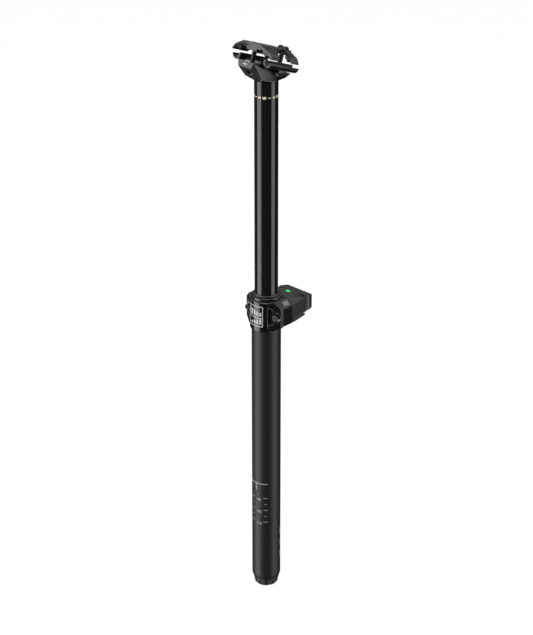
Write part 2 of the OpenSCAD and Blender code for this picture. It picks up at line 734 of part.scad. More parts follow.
// Spool: its tip follows the cam, its head holds the spring
spool_head_x = spool_end_x - 0.9;
spool_in_x = seat_in_x + 0.3;
module valve_spool() {
    color([0.7, 0.7, 0.72]) translate([0, 0, valve_z]) rotate([0, 90, 0]) difference() {
        union() {
            translate([0, 0, spool_in_x]) cylinder(r = spool_r, h = spool_end_x - spool_in_x, $fn = 48);
            translate([0, 0, spool_head_x]) cylinder(r = 2.3, h = 0.9, $fn = 48);
        }
        translate([0, 0, spool_seal_x]) tube(spool_r + 1, spool_r - 0.5, 0, 0.7);
    }
}
spool_seal_x = spool_in_x + 1.5;

module spool_seals() {
    color("black") translate([spool_seal_x + 0.35, 0, valve_z]) rotate([0, 90, 0])
        o_ring(spool_r - 0.25, 0.22, 0);
}

module function_button() {
    color([0.42, 0.43, 0.45]) in_button() {
        block([-button_len / 2, -button_w / 2, -1.0], [button_len / 2, button_w / 2, 0.25]);
        translate([0, 0, -2.1]) cylinder(r = 1.2, h = 1.2, $fn = 32);
    }
}

// Battery: outer form cut by its facets, open at the rear for the dock
scoop_r = 13;
module battery_form() {
    difference() {
        union() {
            difference() {
                intersection() {
                    linear_extrude(60) plan(seam_x + seam_gap, tongue_x + 1.2);
                    side_profile(seam_x + seam_gap, tongue_x + 1.2);
                }
                both_sides() side_facets();
            }
            intersection() {
                linear_extrude(60) plan(tongue_x + 0.6, battery_x);
                side_profile(tongue_x + 0.6, battery_x);
                block([tongue_x, -19.2, 0], [battery_x, 19.2, 60]);
            }
        }
        // Rising underside ahead of the latch, and eased front corners
        rotate([90, 0, 0]) linear_extrude(80, center = true) polygon([[latch_tip_x + 0.4, under_z - 1],
            [latch_tip_x + 0.4, 9.2], [battery_x - 1.5, front_low_z], [battery_x + 1, 13], [battery_x + 1, under_z - 1]]);
        both_sides() {
            translate([43.6, 31.4, 0]) cylinder(r = scoop_r, h = 60);
            translate([battery_x, battery_y, 0]) rotate([0, 0, 38]) block([-0.9, -4, 0], [4, 4, 60]);
        }
        translate([battery_x, 0, top_front_z]) rotate([0, -45, 0]) block([-0.9, -40, -4], [4, 40, 4]);
    }
}

// Two planes that turn the 45 degree edge at the seam into a flat shoulder at the front
module side_facets() {
    // Corners on the seam, and the shoulder's inner and outer ends at the tongue's front
    seam_high = [seam_x, 19.2, top_seam_z];
    seam_low = [seam_x, seam_y, 28.4];
    shoulder_in = [tongue_x, 5.3, top_z(tongue_x)];
    shoulder_out = [tongue_x, 20.1, 27.6];
    cut_above(seam_high, seam_low, shoulder_out);
    cut_above(seam_high, shoulder_out, shoulder_in);
}

// Removes everything above the plane through three points
module cut_above(a, b, c) {
    n = cross(b - a, c - a);
    up = n[2] > 0 ? n : -n;
    length = norm(up);
    tilt = acos(up[2] / length);
    turn = atan2(up[1], up[0]);
    translate(a) rotate([0, 0, turn]) rotate([0, tilt, 0]) block([-60, -60, 0], [60, 60, 40]);
}

latch_tip_x = 39;
latch_wall = 1.5;
latch_floor = 1.4;
latch_inset_y = 17.4;
latch_slot_rear_z = 14.2;
latch_slot_front_z = 11;
floor_split_z = 11.4;
cell_x0 = 31.2;
cell_x1 = 49.5;
cell_y = 13.4;
cell_z0 = floor_split_z + 0.1;
cell_z1 = 23.6;

// Room that the latch sweeps at the battery's lower corners and under it
module latch_room() {
    block([seam_x - 1, -40, 0], [latch_tip_x + 0.4, 40, under_z + latch_floor + free_gap]);
    both_sides() intersection() {
        block([seam_x - 1, latch_inset_y, 0], [latch_tip_x + 0.4, 40, 60]);
        rotate([90, 0, 0]) linear_extrude(80, center = true) polygon([[0, 0], [latch_tip_x + 0.4, 0],
            [latch_tip_x + 0.4, latch_slot_front_z - 0.6], [36, latch_slot_front_z + 0.3],
            [seam_x - 1, latch_slot_rear_z + 0.9]]);
    }
    // The hook on the latch stands in this shallow ramp
    rotate([90, 0, 0]) linear_extrude(2 * hook_y + 0.6, center = true) hook_outline(free_gap);
}

hook_y = 12;
hook_h = 0.8;
hook_x = 37;
module hook_outline(grow) {
    base_z = under_z + latch_floor;
    polygon([[hook_x - 3.8 - grow, base_z - over], [hook_x - 3.8 - grow, base_z + grow],
        [hook_x - 0.3, base_z + hook_h + grow], [hook_x + grow, base_z + hook_h + grow],
        [hook_x + grow, base_z - over]]);
}

module dock_room() {
    block([0, -dock_y - free_gap, 0], [dock_x + free_gap, dock_y + free_gap, tongue_low_z + 0.3]);
    translate([0, 0, tongue_low_z - free_gap]) linear_extrude(60) tongue_plan(free_gap);
}

module battery_body() {
    difference() {
        battery_form();
        latch_room();
        dock_room();
        block([cell_x0 - 0.1, -cell_y - 0.1, floor_split_z - over], [cell_x1 + 0.1, cell_y + 0.1, cell_z1 + 0.1]);
        block([dock_x - 1, -6, contact_z - 1.6], [cell_x0, 6, contact_z + 1.6]);
    }
}

module battery_case() {
    color([0.16, 0.16, 0.16]) difference() {
        battery_body();
        block([dock_x, -40, 0], [60, 40, floor_split_z]);
    }
}

module battery_floor() {
    color([0.14, 0.14, 0.14]) intersection() {
        battery_body();
        block([dock_x, -40, 0], [60, 40, floor_split_z]);
    }
}

module battery_cell() {
    color([0.5, 0.5, 0.55]) block([cell_x0, -cell_y, cell_z0], [cell_x1, cell_y, cell_z1]);
}

// Pads that the dock's pins meet
module battery_contacts() {
    color("gold") for (y = contact_y)
        block([dock_x + 0.4, y - 1.1, contact_z - 1.4], [cell_x0 - 0.05, y + 1.1, contact_z + 1.4]);
}

// Side view of the latch lever
module latch_profile(x0) {
    rotate([90, 0, 0]) linear_extrude(80, center = true) intersection() {
        polygon([[latch_x + 0.6, under_z], [latch_tip_x - 2, under_z], [latch_tip_x, under_z + latch_floor],
            [36, latch_slot_front_z], [latch_x, latch_slot_rear_z - 0.2], [seam_x + 1, latch_slot_rear_z - 1],
            [seam_x + 0.6, 10.4], [seam_x + 0.8, 7.7], [seam_x + 1.3, under_z + 0.2]]);
        translate([x0, 0]) square([60, 60]);
    }
}

// Lever under the battery: a side wall at each edge, and a floor that starts ahead of the pins
module battery_latch() {
    floor_x = latch_x + 1;
    color([0.13, 0.13, 0.13]) {
        difference() {
            intersection() {
                linear_extrude(60) plan(seam_x, latch_tip_x);
                latch_profile(seam_x);
            }
            linear_extrude(60) latch_inside(latch_tip_x + 10);
            both_sides() translate([latch_x, 0, latch_z]) rotate([-90, 0, 0])
                cylinder(r = latch_pin_r + run_gap, h = latch_lug_y + latch_pin_len - 3.6 + 0.1, $fn = 32);
        }
        intersection() {
            translate([0, 0, under_z]) linear_extrude(latch_floor) plan(floor_x, latch_tip_x);
            latch_profile(floor_x);
        }
        rotate([90, 0, 0]) linear_extrude(2 * hook_y, center = true) hook_outline(0);
    }
}

// Plan of the room between the latch's side walls
module latch_inside(x1) {
    slope = (seam_y - battery_y) / (battery_x - seam_x);
    y0 = seam_y + slope - latch_wall;
    y1 = seam_y - slope * (x1 - seam_x) - latch_wall;
    polygon([[seam_x - 1, -y0], [x1, -y1], [x1, y1], [seam_x - 1, y0]]);
}

module stanchion() {
    color([0.08, 0.08, 0.08]) tube(stanchion_r, stanchion_in_r, stanchion_low_z, stanchion_top);
}

// Frame of one arm end: a block square to the rails
module arm_end(u0, u1, w0, w1, half_low, half_high) {
    hull() {
        translate([u0, -half_high, w1 - 0.1]) cube([0.1, 2 * half_high, 0.1]);
        translate([u1, -half_high, w1 - 0.1]) cube([0.1, 2 * half_high, 0.1]);
        translate([u0, -half_low, w0]) cube([0.1, 2 * half_low, 0.1]);
        translate([u1, -half_low, w0]) cube([0.1, 2 * half_low, 0.1]);
    }
}

neck_r = 12.9;
neck_h = 4.7;
rear_arm_u = -30.2;
front_arm_u = 28.3;
spigot_depth = 22;
washer_r = 3;
washer_half = 3.8;
head_r = 3.8;
head_h = 3;
module head() {
    color([0.1, 0.1, 0.1]) difference() {
        union() {
            hull() {
                in_clamp() arm_end(rear_arm_u, rear_arm_u + 2.6, -10.5, -4.3, 9, 10.8);
                block([-18, -12.3, stanchion_top + 5.3], [-17, 12.3, stanchion_top + 5.8]);
                neck();
            }
            hull() {
                in_clamp() translate([front_arm_u - 2, -10.4, -7.6]) cube([2, 20.8, 0.2]);
                in_clamp() translate([22.5, -9.6, -13]) cube([0.2, 19.2, 0.2]);
                neck();
            }
            in_clamp() block([13.2, -7, -11], [25.4, 7, -3.4]);
            translate([0, 0, stanchion_top - spigot_depth])
                cylinder(r = stanchion_in_r, h = spigot_depth + 1);
        }
        in_clamp() {
            // Saddle for the rocker
            translate([pivot_u, 0, pivot_w]) cross_rod(rocker_r + 0.08, 9.2);
            block([-16, -9.2, -6], [14, 9.2, 8]);
            washer_pocket(rear_bolt_u, rear_washer_w, 20);
            // Wider mouth of the key's way to the rear bolt
            translate([rear_bolt_u - 1.6, 0, rear_washer_w - 24]) cylinder(r = head_r + 0.4, h = 20, $fn = 64);
            washer_pocket(front_bolt_u, front_washer_w, head_h + 0.4);
        }
        // Below its seat the front bolt's way stays clear of the stanchion
        intersection() {
            in_clamp() washer_pocket(front_bolt_u, front_washer_w, 20);
            block([neck_r + 0.3, -20, stanchion_top - 20], [60, 20, clamp_z]);
        }
        translate([0, 0, stanchion_top - spigot_depth - over]) cylinder(r = stanchion_in_r - 3, h = spigot_depth);
        // The stanchion's end meets the neck from below
        tube(stanchion_r + free_gap, stanchion_in_r, stanchion_top - 5, stanchion_top);
    }
}

module neck() {
    translate([0, 0, stanchion_top]) cylinder(r = neck_r, h = neck_h, $fn = 64);
}

// Round seat for a washer, the bolt's way up and room for the bolt's head below
module washer_pocket(u, w, depth) {
    translate([u, 0, w]) {
        cross_rod(washer_r + run_gap, washer_half + free_gap);
        cylinder(r = shank_r + 0.5, h = 14, $fn = 48);
        translate([0, 0, -depth]) cylinder(r = head_r + 0.4, h = depth + 0.15, $fn = 64);
    }
}

// Main piston: it closes the stanchion's foot and runs in the air cylinder
module main_piston() {
    color([0.6, 0.6, 0.62]) difference() {
        union() {
            translate([0, 0, piston_low_z]) cylinder(r = cylinder_r - run_gap, h = 4);
            translate([0, 0, piston_low_z]) cylinder(r = stanchion_in_r, h = piston_h);
        }
        translate([0, 0, piston_low_z + 1.2]) tube(cylinder_r + over, cylinder_r - 1.3, 0, 1.6);
        translate([0, 0, piston_low_z - over]) cylinder(r = bush_r, h = piston_h + 1);
    }
}
bush_r = guide_r + 2.2;

module piston_seal() {
    color("black") o_ring(cylinder_r - 0.68, 0.6, piston_low_z + 2);
}

// Glide ring above the piston, round the stanchion's foot
module glide_ring() {
    color([0.3, 0.3, 0.3]) tube(cylinder_r - run_gap, stanchion_r, stanchion_low_z, stanchion_low_z + 12);
}

module guide_bush() {
    color([0.85, 0.8, 0.65]) difference() {
        translate([0, 0, piston_low_z]) cylinder(r = bush_r, h = piston_h);
        translate([0, 0, piston_low_z - over])
            cylinder(r = guide_r + 0.15, h = piston_h + 2 * over, $fn = 6);
    }
}

// Lower cradle: a rocker in the middle and a half-round trough under each rail
trough_u0 = -22.5;
trough_u1 = 19.4;
trough_wall_y = rail_y - rail_r - 1.7;
trough_wall_w = 1.9;
module lower_cradle() {
    color([0.1, 0.1, 0.1]) in_clamp() difference() {
        union() {
            intersection() {
                translate([pivot_u, 0, pivot_w]) cross_rod(rocker_r, 8.6);
                block([-12.5, -10, -20], [11.5, 10, -3]);
            }
            block([-12.5, -8.6, -7], [11.5, 8.6, -2.2]);
            both_sides() {
                translate([trough_u0, rail_y, 0]) rotate([0, 90, 0])
                    cylinder(r = trough_r, h = trough_u1 - trough_u0);
                // The wall on the inner side stands higher than the rail's middle
                block([trough_u0, trough_wall_y, -2], [trough_u1, rail_y - 3, trough_wall_w]);
                // Web out to the trough
                translate([-11, 0, 0]) rotate([90, 0, 90]) linear_extrude(21) polygon([[7, -7],
                    [8.6, -6.6], [9, -4.9], [rail_y - 3, -4.6], [rail_y - 3, -1.6], [7, -2.6]]);
            }
        }
        both_sides() {
            translate([trough_u0 - 1, rail_y, 0]) rotate([0, 90, 0])
                cylinder(r = rail_r, h = trough_u1 - trough_u0 + 2);
            block([trough_u0 - 1, rail_y - rail_r, 0], [trough_u1 + 1, rail_y + 7, 8]);
            block([trough_u0 - 1, rail_y - 7, 0], [trough_u1 + 1, trough_wall_y, 8]);
            block([trough_u0 - 1, rail_y - 7, trough_wall_w], [trough_u1 + 1, rail_y, 8]);
            // Lightening windows between rocker and trough
            translate([-6.5, 12.6, 0]) cylinder(r = 2.6, h = 30, center = true, $fn = 48);
            translate([5, 12.6, 0]) cylinder(r = 2.6, h = 30, center = true, $fn = 48);
        }
        // Hollow of the rocker
        block([-8, -5, -9], [7, 5, 0]);
    }
}

// Upper clamp: two arms that end in hooks over the rails, joined by a plateau
hook_tip_w = clamp_lift + 0.5;
module arm_section(flange) {
    // Upper outline of the arm from the middle to the hook's tip
    outline = [[0, plateau_w], [11.5, plateau_w], [24.6, 9.4], [27, 6.6], [28.3, hook_tip_w]];
    inner = flange ? [[25, hook_tip_w], [23.6, 7.4], [10.9, 13.2], [0, 13.2]]
        : [[18.2, hook_tip_w], [16.6, 6.4], [12, 9.6], [0, 11.2]];
    polygon(concat(outline, inner));
}

// Extrudes an arm's section along the rails, on both sides
module arm(u0, u1, flange) {
    translate([u0, 0, 0]) rotate([90, 0, 90]) linear_extrude(u1 - u0) {
        arm_section(flange);
        mirror([1, 0]) arm_section(flange);
    }
}

module upper_clamp() {
    color([0.1, 0.1, 0.1]) in_clamp() difference() {
        union() {
            // Flanges, kept to the arms' outlines seen from above
            intersection() {
                arm(-28.1, 24.5, true);
                translate([0, 0, -5]) linear_extrude(40) {
                    arm_plan([-28.1, -24], [-5, -14.6]);
                    arm_plan([6.5, 7.4], [16.5, 17]);
                }
            }
            // Webs under the flanges, set back from their edges
            intersection() {
                arm(-28.1, 24.5, false);
                translate([0, 0, -5]) linear_extrude(40) {
                    arm_plan([-26.4, -22.3], [-6.7, -16.2]);
                    arm_plan([8.2, 9.1], [14.8, 15.3]);
                }
            }
            // Hooks over the rails
            intersection() {
                arm(-28.1, 24.5, false);
                both_sides() {
                    block([-24.6, rail_y + 1.6, 0], [-14.7, 40, 30]);
                    block([7.3, rail_y + 1.6, 0], [16.9, 40, 30]);
                }
            }
            // Plateau between the arms, and the bosses that carry the barrel nuts
            block([-28.1, -11.5, 12.4], [8, 11.5, plateau_w]);
            block([rear_bolt_u - 5.4, -7.2, rear_nut_w - nut_r - 1.2], [rear_bolt_u + 5.4, 7.2, 13]);
            block([front_bolt_u - 11.6, -7, front_nut_w - nut_r - 1.2],
                [front_bolt_u + 5.2, 7, front_nut_w + 0.6]);
        }
        both_sides() {
            translate([-30, rail_y, clamp_lift]) rotate([0, 90, 0]) cylinder(r = rail_r, h = 60);
            block([-30, rail_y - rail_r, 0], [30, rail_y + rail_r, clamp_lift]);
            // Room for the troughs' inner walls when the clamp is closed
            block([-30, trough_wall_y - 0.4, 0],
                [30, rail_y - rail_r + over, clamp_lift + trough_wall_w + 0.4]);
            // Arches in the webs
            translate([-30, 13.2, 8.7]) rotate([0, 90, 0]) cylinder(r = 1.9, h = 60, $fn = 48);
        }
        nut_seat(rear_bolt_u, rear_nut_w);
        nut_seat(front_bolt_u, front_nut_w);
    }
}

// Outline of a pair of arms from above: edges at the ridge and at the hook
module arm_plan(rear, front) {
    polygon([[rear[0], -11.5], [rear[1], -30], [front[1], -30], [front[0], -11.5],
        [front[0], 11.5], [front[1], 30], [rear[1], 30], [rear[0], 11.5]]);
}

// Open trough for a barrel nut, and the bolt's way through it
nut_r = 3.7;
nut_half = 5;
module nut_seat(u, w) {
    translate([u, 0, w]) {
        cross_rod(nut_r, nut_half + free_gap);
        block([-nut_r, -nut_half - free_gap, 0], [nut_r, nut_half + free_gap, 8]);
        translate([0, 0, -14]) cylinder(r = shank_r + 0.9, h = 14, $fn = 48);
    }
}

// Two barrel nuts with a dimple in each end
module barrel_nuts() {
    color([0.25, 0.25, 0.25]) in_clamp() for (p = [[rear_bolt_u, rear_nut_w], [front_bolt_u, front_nut_w]])
        translate([p[0], 0, p[1]]) difference() {
            cross_rod(nut_r, nut_half);
            cylinder(r = shank_r + 0.35, h = 12, center = true, $fn = 48);
            both_sides() translate([0, nut_half - 1, 0]) rotate([-90, 0, 0])
                cylinder(r = 1.7, h = 2, $fn = 32);
        }
}

// Half-round washer that lets the bolt lean as the clamp tilts
module bolt_washer(u, w) {
    color([0.3, 0.3, 0.3]) in_clamp() translate([u, 0, w]) difference() {
        intersection() {
            cross_rod(washer_r, washer_half);
            cylinder(r = head_r, h = 6, $fn = 64);
        }
        cylinder(r = shank_r + run_gap, h = 12, center = true, $fn = 48);
    }
}
module rear_washer() { bolt_washer(rear_bolt_u, rear_washer_w); }
module front_washer() { bolt_washer(front_bolt_u, front_washer_w); }

// Clamp bolt with its head down, under the washer; its tip stands in the barrel nut
module clamp_bolt(u, w, tip_w) {
    color([0.25, 0.25, 0.25]) in_clamp() translate([u, 0, w])
        socket_bolt(shank_r, head_r, head_h, tip_w - w, 2.1, $fn = 64);
}
module rear_clamp_bolt() { clamp_bolt(rear_bolt_u, rear_washer_w, rear_nut_w + 2.2); }
module front_clamp_bolt() { clamp_bolt(front_bolt_u, front_washer_w, front_nut_w + 2.2); }

lower_tube();
air_cylinder();
foot_plug();
foot_seals();
bottom_bumper();
guide_rod();
inflation_valve();
valve_pin();
valve_cap();
end_cap();
collar();
collar_ring();
wiper_seal();
shaft_seal();
upper_bushing();
valve_seat();
valve_seat_seals();
valve_spring();
actuator_housing();
housing_cover();
cover_gasket();
cover_screws();
housing_bolts();
thread_inserts();
motor();
gear_plate();
gear_axle();
circuit_board();
button_switch();
contact_pins();
light_lens();
latch_pins();
motor_pinion();
cam_gear();
valve_spool();
spool_seals();
function_button();
battery_case();
battery_floor();
battery_cell();
battery_contacts();
battery_latch();
stanchion();
head();
main_piston();
piston_seal();
glide_ring();
guide_bush();
lower_cradle();
upper_clamp();
rear_washer();
front_washer();
rear_clamp_bolt();
front_clamp_bolt();
barrel_nuts();
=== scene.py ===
"""Looks of the dropper seatpost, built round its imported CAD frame."""
import json
import math
import bmesh
import bpy
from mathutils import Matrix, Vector
from mathutils.bvhtree import BVHTree


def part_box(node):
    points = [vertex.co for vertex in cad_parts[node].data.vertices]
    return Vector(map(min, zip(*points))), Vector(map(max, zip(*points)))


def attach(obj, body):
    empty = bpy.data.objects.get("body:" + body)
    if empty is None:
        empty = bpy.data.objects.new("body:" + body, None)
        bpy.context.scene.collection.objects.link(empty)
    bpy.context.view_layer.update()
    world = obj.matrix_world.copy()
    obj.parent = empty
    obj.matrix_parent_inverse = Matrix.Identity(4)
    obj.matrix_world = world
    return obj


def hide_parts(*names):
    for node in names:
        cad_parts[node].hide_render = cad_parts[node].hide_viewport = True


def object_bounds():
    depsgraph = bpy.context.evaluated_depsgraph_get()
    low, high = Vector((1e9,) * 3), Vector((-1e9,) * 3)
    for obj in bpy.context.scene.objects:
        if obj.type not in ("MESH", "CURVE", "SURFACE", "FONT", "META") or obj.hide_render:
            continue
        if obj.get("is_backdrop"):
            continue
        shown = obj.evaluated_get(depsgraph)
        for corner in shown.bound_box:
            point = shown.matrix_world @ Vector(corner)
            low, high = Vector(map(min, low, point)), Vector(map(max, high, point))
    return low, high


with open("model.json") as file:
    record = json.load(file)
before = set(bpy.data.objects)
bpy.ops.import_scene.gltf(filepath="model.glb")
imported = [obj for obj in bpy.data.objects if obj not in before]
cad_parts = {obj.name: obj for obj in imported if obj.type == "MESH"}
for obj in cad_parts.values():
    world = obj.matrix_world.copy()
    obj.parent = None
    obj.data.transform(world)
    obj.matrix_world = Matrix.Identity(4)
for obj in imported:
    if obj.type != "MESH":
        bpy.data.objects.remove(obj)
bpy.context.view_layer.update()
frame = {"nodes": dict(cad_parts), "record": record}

bl_info = {
    "name": "Dropper Seatpost",
    "version": (1, 0, 0),
    "blender": (4, 5, 0),
    "location": "3D View > Sidebar > Seatpost",
    "description": "Builds the finishes, marks and studio of a wireless dropper seatpost",
    "category": "Add Mesh",
}

MM = 0.001

# Camera: the photo's size and focal length in pixels, the column of the post's axis, sensor in mm, clip in metres
PHOTO_SIZE = (533, 635)
FOCAL_PIXELS = 2050.0
AXIS_PIXEL = 266.3
SENSOR_WIDTH = 36.0
CLIP = (0.05, 60.0)

# Lamps, in metres: turn from the camera's side in degrees and width of the upright ones
LEFT_LAMP = (-72.0, 1.2)
RIGHT_LAMP = (69.0, 0.98)
LAMP_HEIGHT, LAMP_DISTANCE, LAMP_Z = 3.4, 1.5, -0.2
# The lamp overhead: its turn, distance from the axis and height, and what it faces
TOP_LAMP_PLACE = (-20, 0.5, 1.5)
TOP_LAMP_SIZE, TOP_LAMP_TARGET_Z = 1.0, 0.2

# Floor, in metres, its white as the camera sees it, and the share of that white over the lit paper
FLOOR_HALF, FLOOR_GAP = 9, 0.0002
PAPER_LEVEL, PAPER_SHARE = 1.08, 0.88
# Cards round the post: turns from the camera's side in degrees, heights in metres, cloth
CARDS = (("card_front", -50, 50, -2.6, 2.2, "velvet"), ("card_left", -138, -95, -2.6, 0.3, "velvet"),
         ("card_right", 89, 148, -2.6, 0.3, "velvet"), ("card_under", 146, 229, -2.6, 0.0, "charcoal"),
         ("card_back", 148, 227, 0.0, 1.3, "felt"))
CARD_RADIUS, CARD_STEPS, CARD_BELOW_HALF = 1.6, 10, 1.7
# Brightness of the charcoal cloth as a share of the felt's
CHARCOAL_SHARE = 0.4

# Noise values between which a finish goes from its lower to its higher roughness
NOISE_LOW, NOISE_HIGH = 0.3, 0.7
# Cosine between the true normal and the rounded one at which a corner's painted highlight starts and is full
HIGHLIGHT_FROM, HIGHLIGHT_TO = 0.99, 0.85
# Status light: how far from its centre, in mm, the glow falls to its rim's share
GLOW_REACH, GLOW_RIM = 3.2, 0.15

# Softening: points this close are one, faces this flat are one, edges this sharp are rounded
MERGE_DISTANCE = 2e-6
FLAT_ANGLE, SHARP_ANGLE = math.radians(0.6), math.radians(18.0)
ROUND_SEGMENTS, ROUND_TRIALS = 2, 4
# Share of a neighbouring edge that a rounding may take, where it is rounded at both ends or at one
SHARED_ROOM, OWN_ROOM = 0.42, 0.85
# Cosine below which two rounded edges in a row count as a corner
STRAIGHT_RUN = 0.8
# A rounding may leave the surface by this share of its width, else edges this many widths off are narrowed
STRAY_SHARE, STRAY_REACH, NARROWING = 0.75, 6, 0.5

# Prints, in mm: thickness of ink, its gap over the tubes, and the figures' font size and merge distance
PRINT_THICK, DASH_THICK, PANEL_THICK = 0.03, 0.02, 0.05
TUBE_INK_GAP, STANCHION_INK_GAP, FIGURE_LIFT = 0.01, 0.005, 0.02
FONT_SHARE, TEXT_MERGE = 1.4, 1e-6
# Turn of the rear about the post axis, in degrees
REAR = 180.0
# Tube marks: heights in mm from the insertion line, turns in degrees from the rear
INSERT_HALF_HEIGHT, INSERT_HALF_TURN = 0.45, 51.0
TICK_LOW, TICK_HIGH, TICK_TURN, TICK_HALF_TURN = -8.5, -0.8, 1.0, 1.6
STROKES = ((-69.0, -60.5), (-84.0, -76.0), (-97.5, -90.5))
STROKE_TURN, STROKE_HALF_TURN = 119.0, 3.5
SCALE_ROWS = (("left", -16.0), ("right", 42.0))
SCALE_LINES, SCALE_TOP, SCALE_HALF_HEIGHT, SCALE_HALF_TURNS = 5, -18.0, 0.3, (9.0, 5.0)
# Figures of the scale, one to every second line
FIGURES, LINES_PER_FIGURE = ("90", "100", "110"), 2
FIGURE_HEIGHT, FIGURE_TOP, FIGURE_TURN = 3.2, -20.5, 14.0

# Rear panel: heights in mm, turns in degrees; the collar stands outside its ring by the first value
COLLAR_PAST_RING = 0.91
PANEL_LOW, PANEL_HIGH, PANEL_HALF_TURN = 6.2, 29.8, 33.0
PANEL_RIM_HEIGHT, PANEL_RIM_TURN, PANEL_DIVIDER = 0.9, 2.2, (15.9, 16.7)
PANEL_BARS, BAR_FIRST, BAR_STEP, BAR_HALF_TURN = 5, 9.0, 12.0, 3.6
BAR_FOOT, BAR_TOP, BAR_FALL = 18.6, 27.0, 1.1
BLOCK_FOOT, BLOCK_RISE = 9.0, 1.3

# Band under the head: each dash's half width as a share of the step, and its inset in mm
BAND_DASHES = 15
DASH_SHAPES = ((0.34, 0.0), (0.2, 0.7), (0.28, 0.3))

# Stamped patches, in mm: where they are sent from, and ways a hair off square
VENT_START_Z, TILT_MARK_START_X = 50, -60
DOWNWARD, FORWARD = (0, -0.0001, -1), (1, 0.0001, 0)
VENT_X, VENT_Y, VENT_RADIUS, VENT_SIDES = 23.2, 18.6, 0.55, 16
TILT_MARK_HALF, TILT_MARK_Y, TILT_MARK_DROP = (2.6, 0.6), 0.3, -2.8


def hex_colour(text):
    """Linear RGBA of an sRGB hex colour such as '#1a1a1a'."""
    parts = [int(text[i:i + 2], 16) / 255 for i in (1, 3, 5)]
    return tuple([c / 12.92 if c <= 0.04045 else ((c + 0.055) / 1.055) ** 2.4 for c in parts] + [1.0])


# Materials

def add(tree, kind, settings=None, links=None):
    """Adds one shader node, sets its properties or inputs by name or number, and links its inputs."""
    made = tree.nodes.new("ShaderNode" + kind)
    for name, value in (settings or {}).items():
        if isinstance(name, int) or name in made.inputs:
            made.inputs[name].default_value = value
        else:
            setattr(made, name, value)
    for name, source in (links or {}).items():
        tree.links.new(source, made.inputs[name])
    return made


def new_material(name):
    """An empty node material, its shader and its object-space coordinates."""
    made = bpy.data.materials.new(name)
    made.use_nodes = True
    tree = made.node_tree
    tree.nodes.clear()
    shader = add(tree, "BsdfPrincipled")
    add(tree, "OutputMaterial", links={"Surface": shader.outputs["BSDF"]})
    place = add(tree, "TexCoord").outputs["Object"]
    return made, tree, shader, place


def surface(name, colour, light, rough, grain_mm, settings=None, stretch=(1, 1, 1), bump=0.0, edge=None,
            highlight_mm=0.35):
    """A finish with two close shades mottled at grain_mm, roughness varied between two values, a fine relief
    of bump mm, and, if edge is given, that colour where the surface turns a convex corner."""
    made, tree, shader, place = new_material(name)
    for key, value in (settings or {}).items():
        shader.inputs[key].default_value = value
    scaled = add(tree, "Mapping", {"Scale": tuple(s / (grain_mm * MM) for s in stretch)}, {"Vector": place})
    noise = add(tree, "TexNoise", {"Scale": 1.0, "Detail": 3.0, "Roughness": 0.6},
                {"Vector": scaled.outputs["Vector"]})
    shades = add(tree, "Mix", {"data_type": "RGBA", 6: hex_colour(colour), 7: hex_colour(light)},
                 {0: noise.outputs["Fac"]})
    tone = shades.outputs[2]
    if edge:
        # A rounder normal than the true one marks a convex corner, where the edge colour is mixed in: a painted
        # highlight along the rims
        soft = add(tree, "Bevel", {"samples": 4, "Radius": highlight_mm * MM})
        sharp = add(tree, "NewGeometry")
        match = add(tree, "VectorMath", {"operation": "DOT_PRODUCT"},
                    {0: soft.outputs["Normal"], 1: sharp.outputs["Normal"]})
        painted_highlight = add(tree, "MapRange", {"From Min": HIGHLIGHT_FROM, "From Max": HIGHLIGHT_TO, "To Min": 0.0, "To Max": 1.0},
                   {"Value": match.outputs["Value"]})
        mixed = add(tree, "Mix", {"data_type": "RGBA", 7: hex_colour(edge)},
                    {0: painted_highlight.outputs["Result"], 6: tone})
        tone = mixed.outputs[2]
    tree.links.new(tone, shader.inputs["Base Color"])
    gloss = add(tree, "MapRange", {"From Min": NOISE_LOW, "From Max": NOISE_HIGH, "To Min": rough[0],
                                   "To Max": rough[1]}, {"Value": noise.outputs["Fac"]})
    tree.links.new(gloss.outputs["Result"], shader.inputs["Roughness"])
    if bump:
        relief = add(tree, "Bump", {"Strength": 1.0, "Distance": bump * MM}, {"Height": noise.outputs["Fac"]})
        tree.links.new(relief.outputs["Normal"], shader.inputs["Normal"])
    return made


def polished_anodised_tube():
    """Hard-anodised aluminium, centreless ground and polished: near black, mirror-like along its length,
    with grinding marks that run round it. The marks are 0.05 mm apart and are drawn at 0.9 mm to show."""
    return surface("anodised_aluminium_ground_polished", "#101011", "#161617", (0.10, 0.15), 0.9,
                   {"Specular IOR Level": 0.40}, stretch=(0.05, 0.05, 1.0))


def blasted_anodised_tube():
    """Anodised aluminium, bead blasted: soft broad highlights and a fine even grain. The beads leave pits
    of 0.1 mm, drawn at 0.7 mm to show."""
    return surface("anodised_aluminium_bead_blasted", "#121213", "#171718", (0.42, 0.52), 0.7,
                   {"Specular IOR Level": 0.33}, bump=0.012)


def forged_anodised():
    """Forged aluminium, tumbled and anodised black: satin, slightly wavy faces, and a painted highlight on its
    corners.
    """
    return surface("anodised_aluminium_forged", "#0a0a0b", "#101011", (0.17, 0.25), 5.0,
                   {"Specular IOR Level": 0.42}, bump=0.015, edge="#6c6c6f", highlight_mm=0.4)


def turned_anodised():
    """Machined aluminium, anodised glossy black: crisp reflections with faint turning marks round the axis,
    0.1 mm apart and drawn at 0.6 mm."""
    # The edge colour is a painted highlight on the corners.
    return surface("anodised_aluminium_turned", "#0a0a0b", "#0f0f10", (0.14, 0.22), 0.6,
                   {"Specular IOR Level": 0.5}, stretch=(0.08, 0.08, 1.0), edge="#a2a2a4", highlight_mm=0.5)


def silver_ink():
    """Silver pad-printing ink, cured: an even light grey, slightly grainy from its flake, without a mirror."""
    return surface("ink_printed_silver", "#9c9d9f", "#b2b3b5", (0.35, 0.5), 0.4, {"Specular IOR Level": 0.6})


